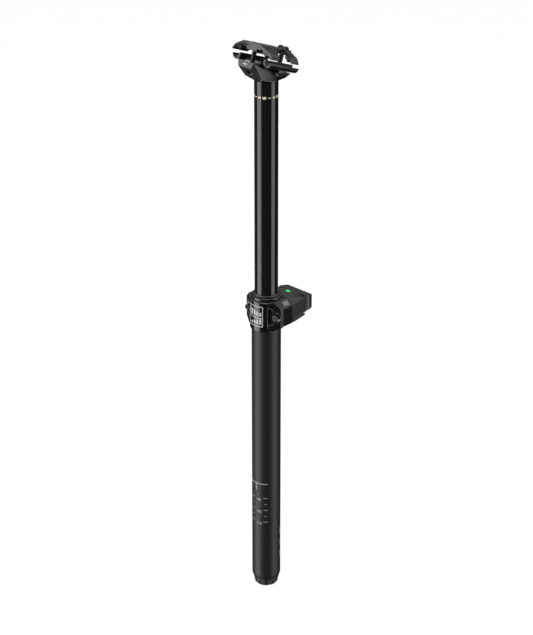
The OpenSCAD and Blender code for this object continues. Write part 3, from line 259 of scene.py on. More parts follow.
def moulded_nylon():
    """Glass-filled nylon, injection moulded on a spark-eroded tool: matt dark grey, with a pitted grain of
    0.15 mm, drawn at 0.5 mm."""
    # The edge colour is a painted highlight on the corners.
    return surface("nylon_glass_filled_moulded", "#202122", "#28292a", (0.48, 0.60), 0.5,
                   {"Specular IOR Level": 0.5}, bump=0.02, edge="#4c4d4f")


def glossy_nylon():
    """Glass-filled nylon, injection moulded on a polished tool: near black with soft clear reflections, and a
    painted highlight on its corners."""
    return surface("nylon_glass_filled_polished", "#0a0a0b", "#0f0f10", (0.13, 0.20), 0.6,
                   {"Specular IOR Level": 0.5}, bump=0.006, edge="#a6a7a9", highlight_mm=0.6)


def moulded_polycarbonate():
    """Polycarbonate blend, injection moulded and satin: slightly lighter and smoother than the nylon."""
    # The edge colour is a painted highlight on the corners.
    return surface("polycarbonate_blend_moulded", "#1b1c1d", "#222324", (0.40, 0.50), 0.6,
                   {"Specular IOR Level": 0.5}, bump=0.012, edge="#6c6d6f", highlight_mm=0.6)


def shadowed_polycarbonate():
    """Polycarbonate blend, injection moulded: rough and near black, painted shade that stands for the inside of a
    small hole.
    """
    return surface("polycarbonate_blend_shadowed", "#060606", "#0a0a0a", (0.7, 0.8), 0.5)


def painted_button():
    """ABS, moulded and painted metallic grey: pale grey with a fine flake sheen."""
    return surface("abs_painted_metallic", "#66696e", "#74777c", (0.36, 0.44), 0.4,
                   {"Metallic": 0.35, "Coat Weight": 0.3, "Coat Roughness": 0.2}, bump=0.006)


def black_steel():
    """Alloy steel, forged and black-oxide coated: dark blue-black with an oily satin sheen."""
    # The edge colour is a painted highlight on the corners.
    return surface("alloy_steel_black_oxide", "#232426", "#303134", (0.26, 0.38), 0.5,
                   {"Metallic": 0.7}, bump=0.01, edge="#6a6b6e")


def nitrile_rubber():
    """Nitrile rubber, moulded: deep matt black with a dusty bloom, and a painted highlight on its corners."""
    return surface("nitrile_rubber_moulded", "#0e0e0e", "#161616", (0.4, 0.5), 0.6,
                   {"Specular IOR Level": 0.5}, bump=0.01, edge="#808080", highlight_mm=0.5)


def acetal():
    """Acetal, turned: waxy off-white with faint tool marks round the axis."""
    return surface("acetal_turned", "#cfccc0", "#dad7cc", (0.34, 0.44), 0.5,
                   {"Subsurface Weight": 0.1, "Subsurface Scale": 0.002}, stretch=(0.1, 0.1, 1.0))


def clear_anodised():
    """Aluminium, extruded and clear anodised: pale satin silver with draw lines along its length."""
    return surface("aluminium_clear_anodised", "#a9abad", "#bcbec0", (0.30, 0.40), 0.5,
                   {"Metallic": 1.0}, stretch=(1.0, 1.0, 0.05))


def brass():
    """Brass, turned: warm yellow metal with a light tarnish."""
    return surface("brass_turned", "#a8884a", "#bd9a58", (0.26, 0.38), 0.7, {"Metallic": 1.0})


def gold_contact():
    """Gold plate over nickel: bright warm contacts, polished by use."""
    return surface("gold_plated_nickel", "#cfa448", "#dcb35a", (0.15, 0.25), 0.5, {"Metallic": 1.0})


def plated_steel():
    """Steel, pressed and nickel plated: bright neutral metal with fine scuffs."""
    return surface("steel_nickel_plated", "#9c9b97", "#b0afab", (0.22, 0.34), 0.5, {"Metallic": 1.0})


def spring_steel():
    """Spring steel, drawn and blued: dark straw-grey wire."""
    return surface("spring_steel_drawn", "#6d6a65", "#817e78", (0.28, 0.40), 0.3, {"Metallic": 1.0})


def circuit_laminate():
    """Epoxy laminate with a green solder mask, over faint glass cloth 0.5 mm apart."""
    return surface("epoxy_laminate_masked", "#12402a", "#185236", (0.28, 0.36), 0.5, bump=0.01)


def wrapped_cell():
    """Lithium cell in a heat-shrunk polyester film: smooth pale grey-blue with slight ripples."""
    return surface("polyester_film_shrunk", "#5c6b7a", "#66768a", (0.25, 0.34), 3.0, bump=0.05)


def silicone():
    """Silicone rubber, moulded: soft grey, waxy, slightly translucent."""
    return surface("silicone_rubber_moulded", "#4b4d50", "#55575a", (0.5, 0.6), 0.6,
                   {"Subsurface Weight": 0.05, "Subsurface Scale": 0.001})


def ink(name, colour, light):
    """Pad-printing ink, cured: flat, slightly rough, a little uneven where it lies on the blasted grain."""
    return surface(name, colour, light, (0.45, 0.6), 0.5)


def lit_lens(colour, strength):
    """Frosted polycarbonate light window, moulded: it glows green, brightest over the diode."""
    made, tree, shader, place = new_material("polycarbonate_frosted_lit")
    near = add(tree, "VectorMath", {"operation": "DISTANCE", 1: LIGHT_CENTRE}, {0: place})
    falloff = add(tree, "MapRange", {"From Min": 0.0, "From Max": GLOW_REACH * MM, "To Min": 1.0,
                                     "To Max": GLOW_RIM}, {"Value": near.outputs["Value"]})
    shade = add(tree, "Mix", {"data_type": "RGBA", 6: hex_colour("#1f8f3a"), 7: hex_colour(colour)},
                {0: falloff.outputs["Result"]})
    tree.links.new(shade.outputs[2], shader.inputs["Emission Color"])
    tree.links.new(shade.outputs[2], shader.inputs["Base Color"])
    shader.inputs["Emission Strength"].default_value = strength
    shader.inputs["Roughness"].default_value = 0.35
    return made


# Shapes

def new_piece(name, mesh, body, material):
    """Links a mesh as a piece that rides on a body."""
    piece = bpy.data.objects.new(name, mesh)
    bpy.context.scene.collection.objects.link(piece)
    mesh.materials.clear()
    mesh.materials.append(material)
    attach(piece, body)
    return piece


def edge_limits(bm, sharp, width):
    """Widest bevel that each sharp edge has room for, as a share of width."""
    chain = set(sharp)
    room = {}
    for vert in {v for e in sharp for v in e.verts}:
        least = width
        at = [e for e in vert.link_edges if e in chain]
        for edge in vert.link_edges:
            far = edge.other_vert(vert)
            length = edge.calc_length()
            if edge not in chain:
                shared = any(e in chain for e in far.link_edges)
                least = min(least, length * (SHARED_ROOM if shared else OWN_ROOM))
            elif len(at) != 2 or abs((far.co - vert.co).normalized().dot(
                    (at[0].other_vert(vert).co - at[1].other_vert(vert).co).normalized())) < STRAIGHT_RUN:
                least = min(least, length * SHARED_ROOM)
        room[vert] = least
    return {e: min(room[e.verts[0]], room[e.verts[1]]) / width for e in sharp}


def softened(node, width):
    """A copy of a CAD node's mesh with its sharp edges rounded to width mm, narrower where there is less room.
    Edges whose rounding would leave the surface are made narrower until it fits."""
    source = frame["nodes"][node].data
    bm = bmesh.new()
    bm.from_mesh(source)
    bmesh.ops.remove_doubles(bm, verts=bm.verts, dist=MERGE_DISTANCE)
    bmesh.ops.dissolve_degenerate(bm, dist=MERGE_DISTANCE, edges=bm.edges)
    bmesh.ops.dissolve_limit(bm, angle_limit=FLAT_ANGLE, verts=bm.verts, edges=bm.edges)
    bm.normal_update()
    sharp = [e for e in bm.edges if len(e.link_faces) == 2 and e.calc_face_angle(0.0) > SHARP_ANGLE]
    shares = edge_limits(bm, sharp, width * MM)
    bm.edges.index_update()
    weights = {e.index: s for e, s in shares.items()}
    middles = {e.index: (e.verts[0].co + e.verts[1].co) / 2 for e in sharp}
    base = bpy.data.meshes.new(node + "_base")
    bm.to_mesh(base)
    bm.free()
    base.polygons.foreach_set("use_smooth", [True] * len(base.polygons))
    base.set_sharp_from_angle(angle=SHARP_ANGLE)
    tree = BVHTree.FromPolygons([v.co for v in base.vertices], [tuple(p.vertices) for p in base.polygons])
    holder = bpy.data.objects.new(node + "_base", base)
    bpy.context.scene.collection.objects.link(holder)
    rounding = holder.modifiers.new("rounding", "BEVEL")
    rounding.limit_method = "WEIGHT"
    rounding.width = width * MM
    rounding.segments = ROUND_SEGMENTS
    rounding.use_clamp_overlap = False
    rounding.loop_slide = True
    rounding.harden_normals = True
    made = None
    for trial in range(ROUND_TRIALS):
        layer = base.attributes.get("bevel_weight_edge") or base.attributes.new(
            "bevel_weight_edge", "FLOAT", "EDGE")
        values = [0.0] * len(base.edges)
        for index, share in weights.items():
            values[index] = share
        layer.data.foreach_set("value", values)
        base.update()
        graph = bpy.context.evaluated_depsgraph_get()
        if made is not None:
            bpy.data.meshes.remove(made)
        made = bpy.data.meshes.new_from_object(holder.evaluated_get(graph))
        strayed = [v.co for v in made.vertices if tree.find_nearest(v.co)[3] > STRAY_SHARE * width * MM]
        if not strayed:
            break
        for point in strayed:
            for index, middle in middles.items():
                if (middle - point).length < STRAY_REACH * width * MM + half_length(base, index):
                    weights[index] *= NARROWING
    bpy.data.objects.remove(holder)
    bpy.data.meshes.remove(base)
    made.name = node + "_softened"
    return made


def half_length(mesh, index):
    """Half the length of one edge of a mesh."""
    a, b = mesh.edges[index].vertices
    return (mesh.vertices[a].co - mesh.vertices[b].co).length / 2


def dressed(node, body, material, width):
    """Replaces a CAD node by its softened copy."""
    piece = new_piece(node + "_dressed", softened(node, width), body, material)
    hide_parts(node)
    return piece


def band(name, radius, low, high, middle, half_angle, body, material, slot, thick=PRINT_THICK):
    """A thin printed strip round a cylinder: heights in mm, angles in degrees about the post axis."""
    steps = max(2, int(half_angle))
    bm = bmesh.new()
    closed = half_angle >= 180
    rows = []
    for k in range(steps if closed else steps + 1):
        a = math.radians(middle - half_angle + 2 * half_angle * k / steps)
        rows.append([bm.verts.new((r * math.cos(a) * MM, r * math.sin(a) * MM, z * MM))
                     for r, z in ((radius, low), (radius + thick, low), (radius + thick, high), (radius, high))])
    pairs = list(zip(rows, rows[1:] + rows[:1])) if closed else list(zip(rows, rows[1:]))
    for a, b in pairs:
        for k in range(4):
            j = (k + 1) % 4
            bm.faces.new((a[k], b[k], b[j], a[j]))
    if not closed:
        bm.faces.new(rows[0])
        bm.faces.new(reversed(rows[-1]))
    bmesh.ops.recalc_face_normals(bm, faces=bm.faces)
    mesh = bpy.data.meshes.new(name)
    bm.to_mesh(mesh)
    bm.free()
    return new_piece(name, mesh, body, material)


def wrapped_text(name, text, radius, height, z, middle, body, material):
    """Plain figures printed round a cylinder: their height in mm and their centre's height and angle."""
    curve = bpy.data.curves.new(name, "FONT")
    curve.body = text
    curve.size = height * FONT_SHARE * MM
    curve.align_x, curve.align_y = "CENTER", "CENTER"
    curve.extrude = PRINT_THICK / 2 * MM
    holder = bpy.data.objects.new(name + "_flat", curve)
    bpy.context.scene.collection.objects.link(holder)
    graph = bpy.context.evaluated_depsgraph_get()
    flat = bpy.data.meshes.new_from_object(holder.evaluated_get(graph))
    bpy.data.objects.remove(holder)
    bm = bmesh.new()
    bm.from_mesh(flat)
    bmesh.ops.remove_doubles(bm, verts=bm.verts, dist=TEXT_MERGE)
    bmesh.ops.triangulate(bm, faces=bm.faces)
    for vert in bm.verts:
        along, up, out = vert.co
        a = math.radians(middle) + along / (radius * MM)
        r = radius * MM + FIGURE_LIFT * MM + out
        vert.co = (r * math.cos(a), r * math.sin(a), z * MM + up)
    bmesh.ops.recalc_face_normals(bm, faces=bm.faces)
    bm.to_mesh(flat)
    bm.free()
    return new_piece(name, flat, body, material)


def stamp(name, node, start, way, outline, body, material):
    """A thin patch laid on a node's surface: its outline is sent from start along the way, all in mm. The way is
    never quite upright, so that its sides are defined."""
    source = frame["nodes"][node].data
    tree = BVHTree.FromPolygons([v.co for v in source.vertices], [tuple(f.vertices) for f in source.polygons])
    way = Vector(way).normalized()
    side = way.cross(Vector((0, 0, 1))).normalized()
    up = side.cross(way)
    rows = []
    for along, high in outline:
        hit, normal = tree.ray_cast(Vector(start) * MM + (side * along + up * high) * MM, way)[:2]
        if hit is None:
            raise RuntimeError(f"{name} misses {node}")
        rows.append((hit, hit + normal * PRINT_THICK * MM))
    bm = bmesh.new()
    low, high = ([bm.verts.new(row[k]) for row in rows] for k in (0, 1))
    bm.faces.new(low)
    bm.faces.new(reversed(high))
    for k in range(len(rows)):
        j = (k + 1) % len(rows)
        bm.faces.new((low[k], high[k], high[j], low[j]))
    bmesh.ops.recalc_face_normals(bm, faces=bm.faces)
    mesh = bpy.data.meshes.new(name)
    bm.to_mesh(mesh)
    bm.free()
    return new_piece(name, mesh, body, material)


LIGHT_CENTRE = tuple((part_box("light_lens")[0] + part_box("light_lens")[1]) / 2)
BODY_OF = {n: b for b, ns in frame["record"]["behaviour"]["bodies"].items() for n in ns}
SLOTS = [m["slot"] for m in frame["record"]["materials"]]
MADE = {}


def finish_of(name):
    """The material of that name, made once."""
    if name not in MADE:
        settings = bpy.context.scene.seatpost_looks
        makers = {
            "polished tube": polished_anodised_tube, "blasted tube": blasted_anodised_tube,
            "forged": forged_anodised, "turned": turned_anodised,
            "nylon": moulded_nylon, "glossy nylon": glossy_nylon,
            "polycarbonate": moulded_polycarbonate, "button": painted_button,
            "black steel": black_steel, "rubber": nitrile_rubber, "acetal": acetal,
            "clear anodised": clear_anodised, "brass": brass, "gold": gold_contact,
            "plated steel": plated_steel, "spring steel": spring_steel, "laminate": circuit_laminate,
            "cell": wrapped_cell, "silicone": silicone, "silver ink": silver_ink,
            "grey ink": lambda: ink("ink_printed_grey", settings.mark_colour_hex, "#a5a5a3"),
            "cream ink": lambda: ink("ink_printed_cream", settings.band_colour_hex, "#d8d0b8"),
            "painted hole shade": shadowed_polycarbonate,
            "lens": lambda: lit_lens("#52f07c", settings.light_strength),
        }
        MADE[name] = makers[name]()
    return MADE[name]


# Node, finish, slot and edge rounding in mm; a node with no rounding keeps its own CAD mesh
LOWER = [
    ("lower_tube", "blasted tube", "bead_blasted_anodised_aluminium", 0.25),
    ("end_cap", "nylon", "matt_black_plastic", 0.25),
    ("foot_plug", "clear anodised", "plain_aluminium", 0),
    ("foot_seals", "rubber", "black_rubber", 0),
    ("bottom_bumper", "rubber", "black_rubber", 0),
    ("guide_rod", "plated steel", "bright_steel", 0),
    ("air_cylinder", "clear anodised", "plain_aluminium", 0),
    ("inflation_valve", "brass", "brass_fittings", 0),
    ("valve_pin", "plated steel", "bright_steel", 0),
    ("valve_cap", "nylon", "matt_black_plastic", 0),
]
COLLAR = [
    ("collar", "turned", "polished_black_aluminium", 0.3),
    ("collar_ring", "turned", "polished_black_aluminium", 0.3),
    ("wiper_seal", "rubber", "black_rubber", 0.12),
    ("shaft_seal", "rubber", "black_rubber", 0),
    ("upper_bushing", "acetal", "bearing_plastic", 0),
    ("housing_bolts", "black steel", "black_steel", 0.2),
    ("thread_inserts", "clear anodised", "plain_aluminium", 0),
]
HOUSING = [
    ("actuator_housing", "glossy nylon", "matt_black_plastic", 0.6),
    ("housing_cover", "nylon", "matt_black_plastic", 0),
    ("cover_gasket", "silicone", "black_rubber", 0),
    ("cover_screws", "plated steel", "bright_steel", 0),
    ("function_button", "button", "grey_button_plastic", 0.2),
    ("light_lens", "lens", "clear_green_lens", 0),
]
ACTUATOR = [
    ("motor", "plated steel", "bright_steel", 0),
    ("motor_pinion", "brass", "brass_fittings", 0),
    ("cam_gear", "acetal", "white_gear_plastic", 0),
    ("gear_plate", "nylon", "matt_black_plastic", 0),
    ("gear_axle", "plated steel", "bright_steel", 0),
    ("circuit_board", "laminate", "green_circuit_board", 0),
    ("button_switch", "nylon", "bearing_plastic", 0),
    ("contact_pins", "gold", "brass_fittings", 0),
    ("latch_pins", "plated steel", "bright_steel", 0),
    ("valve_seat", "brass", "brass_fittings", 0),
    ("valve_seat_seals", "rubber", "black_rubber", 0),
    ("valve_spring", "spring steel", "bright_steel", 0),
    ("valve_spool", "plated steel", "bright_steel", 0),
    ("spool_seals", "rubber", "black_rubber", 0),
]
BATTERY = [
    ("battery_case", "polycarbonate", "matt_black_plastic", 0.5),
    ("battery_floor", "polycarbonate", "matt_black_plastic", 0.2),
    ("battery_cell", "cell", "battery_wrap", 0),
    ("battery_contacts", "gold", "brass_fittings", 0),
    ("battery_latch", "nylon", "matt_black_plastic", 0.2),
]
UPPER = [
    ("stanchion", "polished tube", "gloss_anodised_aluminium", 0),
    ("head", "forged", "polished_black_aluminium", 0.6),
    ("main_piston", "clear anodised", "plain_aluminium", 0),
    ("piston_seal", "rubber", "black_rubber", 0),
    ("glide_ring", "acetal", "bearing_plastic", 0),
    ("guide_bush", "acetal", "white_gear_plastic", 0),
]
CLAMP = [
    ("lower_cradle", "forged", "polished_black_aluminium", 0.35),
    ("upper_clamp", "forged", "polished_black_aluminium", 0.5),
    ("rear_washer", "black steel", "black_steel", 0),
    ("front_washer", "black steel", "black_steel", 0),
    ("rear_clamp_bolt", "black steel", "black_steel", 0.15),
    ("front_clamp_bolt", "black steel", "black_steel", 0.15),
    ("barrel_nuts", "black steel", "black_steel", 0.25),
]


def dress(rows):
    """Gives each node of a list its finish, on its own mesh or on a softened copy that replaces it."""
    scale = bpy.context.scene.seatpost_looks.edge_scale
    for node, finish, slot, width in rows:
        if slot not in SLOTS:
            raise RuntimeError(f"the record has no material slot {slot}")
        if width:
            dressed(node, BODY_OF[node], finish_of(finish), width * scale)
        else:
            keep = frame["nodes"][node]
            for index in range(max(1, len(keep.material_slots))):
                if not keep.material_slots:
                    keep.data.materials.append(finish_of(finish))
                keep.material_slots[index].material = finish_of(finish)


# Settings

class SeatpostLooks(bpy.types.PropertyGroup):
    """Finishes and marks that a user would change."""
    edge_scale: bpy.props.FloatProperty(
        name="Edge Rounding", description="Factor on every rounded edge of the visible pieces",
        default=1.0, min=0.2, max=1.5)
    light_strength: bpy.props.FloatProperty(
        name="Light Strength", description="Glow of the status light", default=1.3, min=0.0, max=10.0)
    mark_colour_hex: bpy.props.StringProperty(
        name="Mark Colour", description="Ink of the marks on the lower tube, as an sRGB hex value",
        default="#8d8d8b")
    band_colour_hex: bpy.props.StringProperty(
        name="Band Colour", description="Ink of the band under the head, as an sRGB hex value",
        default="#c9bfa4")


class SeatpostMarks(bpy.types.PropertyGroup):
    """Sizes of the printed marks."""
    insert_line_z: bpy.props.FloatProperty(
        name="Minimum Insertion Line", description="Height of the line below the collar", unit="LENGTH",
        default=-185.5 * MM, precision=5)
    band_z: bpy.props.FloatProperty(
        name="Band Height", description="Height of the band under the head", unit="LENGTH",
        default=260.0 * MM, precision=5)
    band_width: bpy.props.FloatProperty(
        name="Band Width", description="Height of the printed band", unit="LENGTH",
        default=2.6 * MM, precision=5, min=0.0005)
    scale_step: bpy.props.FloatProperty(
        name="Scale Step", description="Distance between the lines of the scale", unit="LENGTH",
        default=7.5 * MM, precision=5, min=0.002)


class SeatpostStudio(bpy.types.PropertyGroup):
    """Camera and lamps."""
    azimuth: bpy.props.FloatProperty(
        name="Azimuth", description="Direction that the camera looks along, from +Y", unit="ROTATION",
        default=math.radians(-45.0))
    elevation: bpy.props.FloatProperty(
        name="Elevation", description="Height of the camera above level", unit="ROTATION",
        default=math.radians(24.9))
    distance: bpy.props.FloatProperty(
        name="Distance", description="From the camera to the point that it looks at", unit="LENGTH",
        default=2189.5 * MM, precision=4)
    target_z: bpy.props.FloatProperty(
        name="Target Height", description="Height of the point on the post axis that the camera looks at",
        unit="LENGTH", default=9.9 * MM, precision=4)
    key_power: bpy.props.FloatProperty(
        name="Key Lamp", description="Radiant power of the large lamp on the left", unit="POWER",
        default=42.0, min=0.0)
    fill_power: bpy.props.FloatProperty(
        name="Strip Lamp", description="Radiant power of the strip lamp on the right", unit="POWER",
        default=19.0, min=0.0)
    top_power: bpy.props.FloatProperty(
        name="Top Lamp", description="Radiant power of the lamp overhead", unit="POWER",
        default=8.0, min=0.0)
    back_level: bpy.props.FloatProperty(
        name="Back Card", description="Brightness of the card behind that level faces mirror",
        default=0.22, min=0.0, max=1.0)
    room_level: bpy.props.FloatProperty(
        name="Room Level", description="Brightness of the room that the matt surfaces see",
        default=0.30, min=0.0, max=1.0)


# Pieces

class SEATPOST_OT_lower(bpy.types.Operator):
    """Dress the lower tube, its foot and the air spring parts inside"""
    bl_idname = "seatpost.lower"
    bl_label = "Lower Tube"

    def execute(self, context):
        dress(LOWER)
        return {"FINISHED"}


class SEATPOST_OT_tube_marks(bpy.types.Operator):
    """Print the insertion line, the side strokes and a plain scale with figures on the lower tube"""
    bl_idname = "seatpost.tube_marks"
    bl_label = "Tube Marks"

    def execute(self, context):
        marks = context.scene.seatpost_marks
        grey, slot, body = finish_of("grey ink"), "bead_blasted_anodised_aluminium", BODY_OF["lower_tube"]
        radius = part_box("lower_tube")[1].x / MM + TUBE_INK_GAP
        line = marks.insert_line_z / MM
        band("insert_line", radius, line - INSERT_HALF_HEIGHT, line + INSERT_HALF_HEIGHT, REAR, INSERT_HALF_TURN,
             body, grey, slot)
        band("insert_tick", radius, line + TICK_LOW, line + TICK_HIGH, REAR + TICK_TURN, TICK_HALF_TURN, body,
             grey, slot)
        for k, (low, high) in enumerate(STROKES):
            band(f"side_stroke_{k}", radius, line + low, line + high, REAR + STROKE_TURN, STROKE_HALF_TURN, body,
                 grey, slot)
        step = marks.scale_step / MM
        for row, turn in SCALE_ROWS:
            for k in range(SCALE_LINES):
                z = line + SCALE_TOP - k * step
                band(f"scale_{row}_{k}", radius, z - SCALE_HALF_HEIGHT, z + SCALE_HALF_HEIGHT, REAR + turn,
                     SCALE_HALF_TURNS[k % 2], body, grey, slot)
        for k, figures in enumerate(FIGURES):
            z = line + FIGURE_TOP - LINES_PER_FIGURE * step * k
            wrapped_text(f"figures_{figures}", figures, radius, FIGURE_HEIGHT, z, REAR + FIGURE_TURN, body, grey)
        return {"FINISHED"}


class SEATPOST_OT_collar(bpy.types.Operator):
    """Dress the collar, its ring, seals and bolts"""
    bl_idname = "seatpost.collar"
    bl_label = "Collar"

    def execute(self, context):
        dress(COLLAR)
        return {"FINISHED"}


class SEATPOST_OT_badge(bpy.types.Operator):
    """Lay a plain framed panel with blank bars on the collar's rear"""
    bl_idname = "seatpost.badge"
    bl_label = "Rear Panel"

    def execute(self, context):
        body, slot = BODY_OF["collar"], "polished_black_aluminium"
        silver = finish_of("silver ink")
        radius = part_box("collar_ring")[1].x / MM + COLLAR_PAST_RING
        inner_low, inner_high = PANEL_LOW + PANEL_RIM_HEIGHT, PANEL_HIGH - PANEL_RIM_HEIGHT
        for name, a, b in (("low", PANEL_LOW, inner_low), ("high", inner_high, PANEL_HIGH)):
            band(f"panel_{name}", radius, a, b, REAR, PANEL_HALF_TURN, body, silver, slot, PANEL_THICK)
        for name, angle in (("left", REAR + PANEL_HALF_TURN - PANEL_RIM_TURN / 2),
                            ("right", REAR - PANEL_HALF_TURN + PANEL_RIM_TURN / 2)):
            band(f"panel_{name}", radius, inner_low, inner_high, angle, PANEL_RIM_TURN / 2, body, silver, slot,
                 PANEL_THICK)
        band("panel_middle", radius, *PANEL_DIVIDER, REAR, PANEL_HALF_TURN - PANEL_RIM_TURN, body, silver, slot,
             PANEL_THICK)
        for k in range(PANEL_BARS):
            angle = REAR - PANEL_HALF_TURN + BAR_FIRST + k * BAR_STEP
            band(f"panel_bar_{k}", radius, BAR_FOOT, BAR_TOP - BAR_FALL * k, angle, BAR_HALF_TURN, body, silver,
                 slot, PANEL_THICK)
            band(f"panel_block_{k}", radius, BLOCK_FOOT, BLOCK_FOOT + BLOCK_RISE * (k + 1), angle, BAR_HALF_TURN,
                 body, silver, slot, PANEL_THICK)
        return {"FINISHED"}


class SEATPOST_OT_housing(bpy.types.Operator):
    """Dress the actuator housing, its button and its light"""
    bl_idname = "seatpost.housing"
    bl_label = "Housing"

    def execute(self, context):
        dress(HOUSING)
        return {"FINISHED"}


class SEATPOST_OT_actuator(bpy.types.Operator):
    """Dress the motor, gears, valve and circuit inside the housing"""
    bl_idname = "seatpost.actuator"
    bl_label = "Actuator"

    def execute(self, context):
        dress(ACTUATOR)
        return {"FINISHED"}


class SEATPOST_OT_battery(bpy.types.Operator):
    """Dress the battery and its latch"""
    bl_idname = "seatpost.battery"
    bl_label = "Battery"

    def execute(self, context):
        dress(BATTERY)
        # A small vent on each shoulder, drawn as a flat near-black disc: painted shade where a hole would be
        turns = [t * math.pi / (VENT_SIDES / 2) for t in range(VENT_SIDES)]
        outline = [(VENT_RADIUS * math.cos(t), VENT_RADIUS * math.sin(t)) for t in turns]
        for side, place in (("left", VENT_Y), ("right", -VENT_Y)):
            stamp(f"painted_vent_shade_{side}", "battery_case", (VENT_X, place, VENT_START_Z), DOWNWARD, outline,
                  BODY_OF["battery_case"], finish_of("painted hole shade"))
        return {"FINISHED"}


class SEATPOST_OT_upper(bpy.types.Operator):
    """Dress the stanchion, the head and the piston, and print the band under the head"""
    bl_idname = "seatpost.upper"
    bl_label = "Stanchion and Head"

    def execute(self, context):
        dress(UPPER)
        marks = context.scene.seatpost_marks
        low = (marks.band_z - marks.band_width / 2) / MM
        high = (marks.band_z + marks.band_width / 2) / MM
        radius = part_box("stanchion")[1].x / MM + STANCHION_INK_GAP
        # A printed index mark on the head's rear face, for setting the saddle's tilt
        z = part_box("head")[1].z / MM
        wide, high_half = TILT_MARK_HALF
        outline = [(-wide, -high_half), (wide, -high_half), (wide, high_half), (-wide, high_half)]
        stamp("tilt_mark", "head", (TILT_MARK_START_X, TILT_MARK_Y, z + TILT_MARK_DROP), FORWARD, outline,
              BODY_OF["head"], finish_of("silver ink"))
        for k in range(BAND_DASHES):
            step = 360.0 / BAND_DASHES
            wide, inset = DASH_SHAPES[k % len(DASH_SHAPES)]
            band(f"stanchion_dash_{k}", radius, low + inset, high - inset, k * step, step * wide,
                 BODY_OF["stanchion"], finish_of("cream ink"), "gloss_anodised_aluminium", DASH_THICK)
        return {"FINISHED"}


class SEATPOST_OT_clamp(bpy.types.Operator):
    """Dress the rail clamp and its bolts"""
    bl_idname = "seatpost.clamp"
    bl_label = "Rail Clamp"

    def execute(self, context):
        dress(CLAMP)
        return {"FINISHED"}


# Studio

def seen_clearly(tree):
    """1 for the rays by which the camera, a mirror or clear material sees the background, else 0."""
    path = add(tree, "LightPath")
    first = add(tree, "Math", {"operation": "MAXIMUM"},
                {0: path.outputs["Is Camera Ray"], 1: path.outputs["Is Glossy Ray"]})
    both = add(tree, "Math", {"operation": "MAXIMUM"},
               {0: first.outputs[0], 1: path.outputs["Is Transmission Ray"]})
    return both.outputs[0]


def studio_paper(name, shadow_colour, seen_level):
    """Coated paper, rolled: matt and even. The camera and clear reflections see it near white, and it keeps
    part of the shadow."""
    made, tree, shader, place = new_material(name)
    shader.inputs["Base Color"].default_value = hex_colour(shadow_colour)
    shader.inputs["Roughness"].default_value = 0.9
    shader.inputs["Specular IOR Level"].default_value = 0.1
    seen = seen_clearly(tree)
    glow = add(tree, "Emission", {"Color": hex_colour("#ffffff"), "Strength": seen_level})
    blend = add(tree, "MixShader", {}, {1: shader.outputs[0], 2: glow.outputs[0]})
    share = add(tree, "Math", {"operation": "MULTIPLY", 1: PAPER_SHARE}, {0: seen})
    tree.links.new(share.outputs[0], blend.inputs[0])
    out = [n for n in tree.nodes if n.type == "OUTPUT_MATERIAL"][0]
    tree.links.new(blend.outputs[0], out.inputs["Surface"])
    return made


def lamp(name, place, target, width, height, power):
    """A rectangular soft lamp that faces a point, sizes and places in metres."""
    data = bpy.data.lights.new(name, "AREA")
    data.energy = power
    data.shape = "RECTANGLE"
    data.size, data.size_y = width, height
    made = bpy.data.objects.new(name, data)
    bpy.context.scene.collection.objects.link(made)
    made.location = place
    made.rotation_mode = "QUATERNION"
    made.rotation_quaternion = (Vector(target) - Vector(place)).to_track_quat("-Z", "Y")
    made.visible_camera = False


def card(name, points, faces, material):
    """A card of the studio from its points in metres and its faces."""
    mesh = bpy.data.meshes.new(name)
    mesh.from_pydata(points, [], faces)
    made = bpy.data.objects.new(name, mesh)
    bpy.context.scene.collection.objects.link(made)
    mesh.materials.append(material)
    made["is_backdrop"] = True
    return made


def level_card(name, half, z, material):
    """A level square card at a height, its half side in metres."""
    return card(name, [(-half, -half, z), (half, -half, z), (half, half, z), (-half, half, z)], [(0, 1, 2, 3)],
                material)


def only_mirrored(piece):
    """Leaves a card to be seen by reflections alone."""
    piece.visible_camera = piece.visible_shadow = piece.visible_diffuse = False


def card_cloth(name, level=0.0):
    """Cotton velvet or felted wool, by its name: deep black without a sheen. A level above 0 lifts the felt to
    an even grey, which level faces and round edges mirror in place of the white background."""
    made, tree, shader, place = new_material(name)
    shader.inputs["Base Color"].default_value = hex_colour("#0a0a0a")
    shader.inputs["Roughness"].default_value = 1.0
    if level:
        shader.inputs["Emission Color"].default_value = hex_colour("#ffffff")
        shader.inputs["Emission Strength"].default_value = level
    return made


def curved_card(name, azimuth, first, last, low, high, material):
    """An upright card bent round the post axis between two turns from the camera's side."""
    points = []
    for k in range(CARD_STEPS + 1):
        turn = first + (last - first) * k / CARD_STEPS
        points += [from_camera(azimuth, turn, CARD_RADIUS, low), from_camera(azimuth, turn, CARD_RADIUS, high)]
    return card(name, points, [(2 * k, 2 * k + 2, 2 * k + 3, 2 * k + 1) for k in range(CARD_STEPS)], material)


def from_camera(azimuth, turn, distance, z):
    """A point at a distance from the post axis, turned from the camera's side, positive to its right."""
    a = azimuth + math.radians(turn)
    return Vector((math.sin(a) * distance, -math.cos(a) * distance, z))


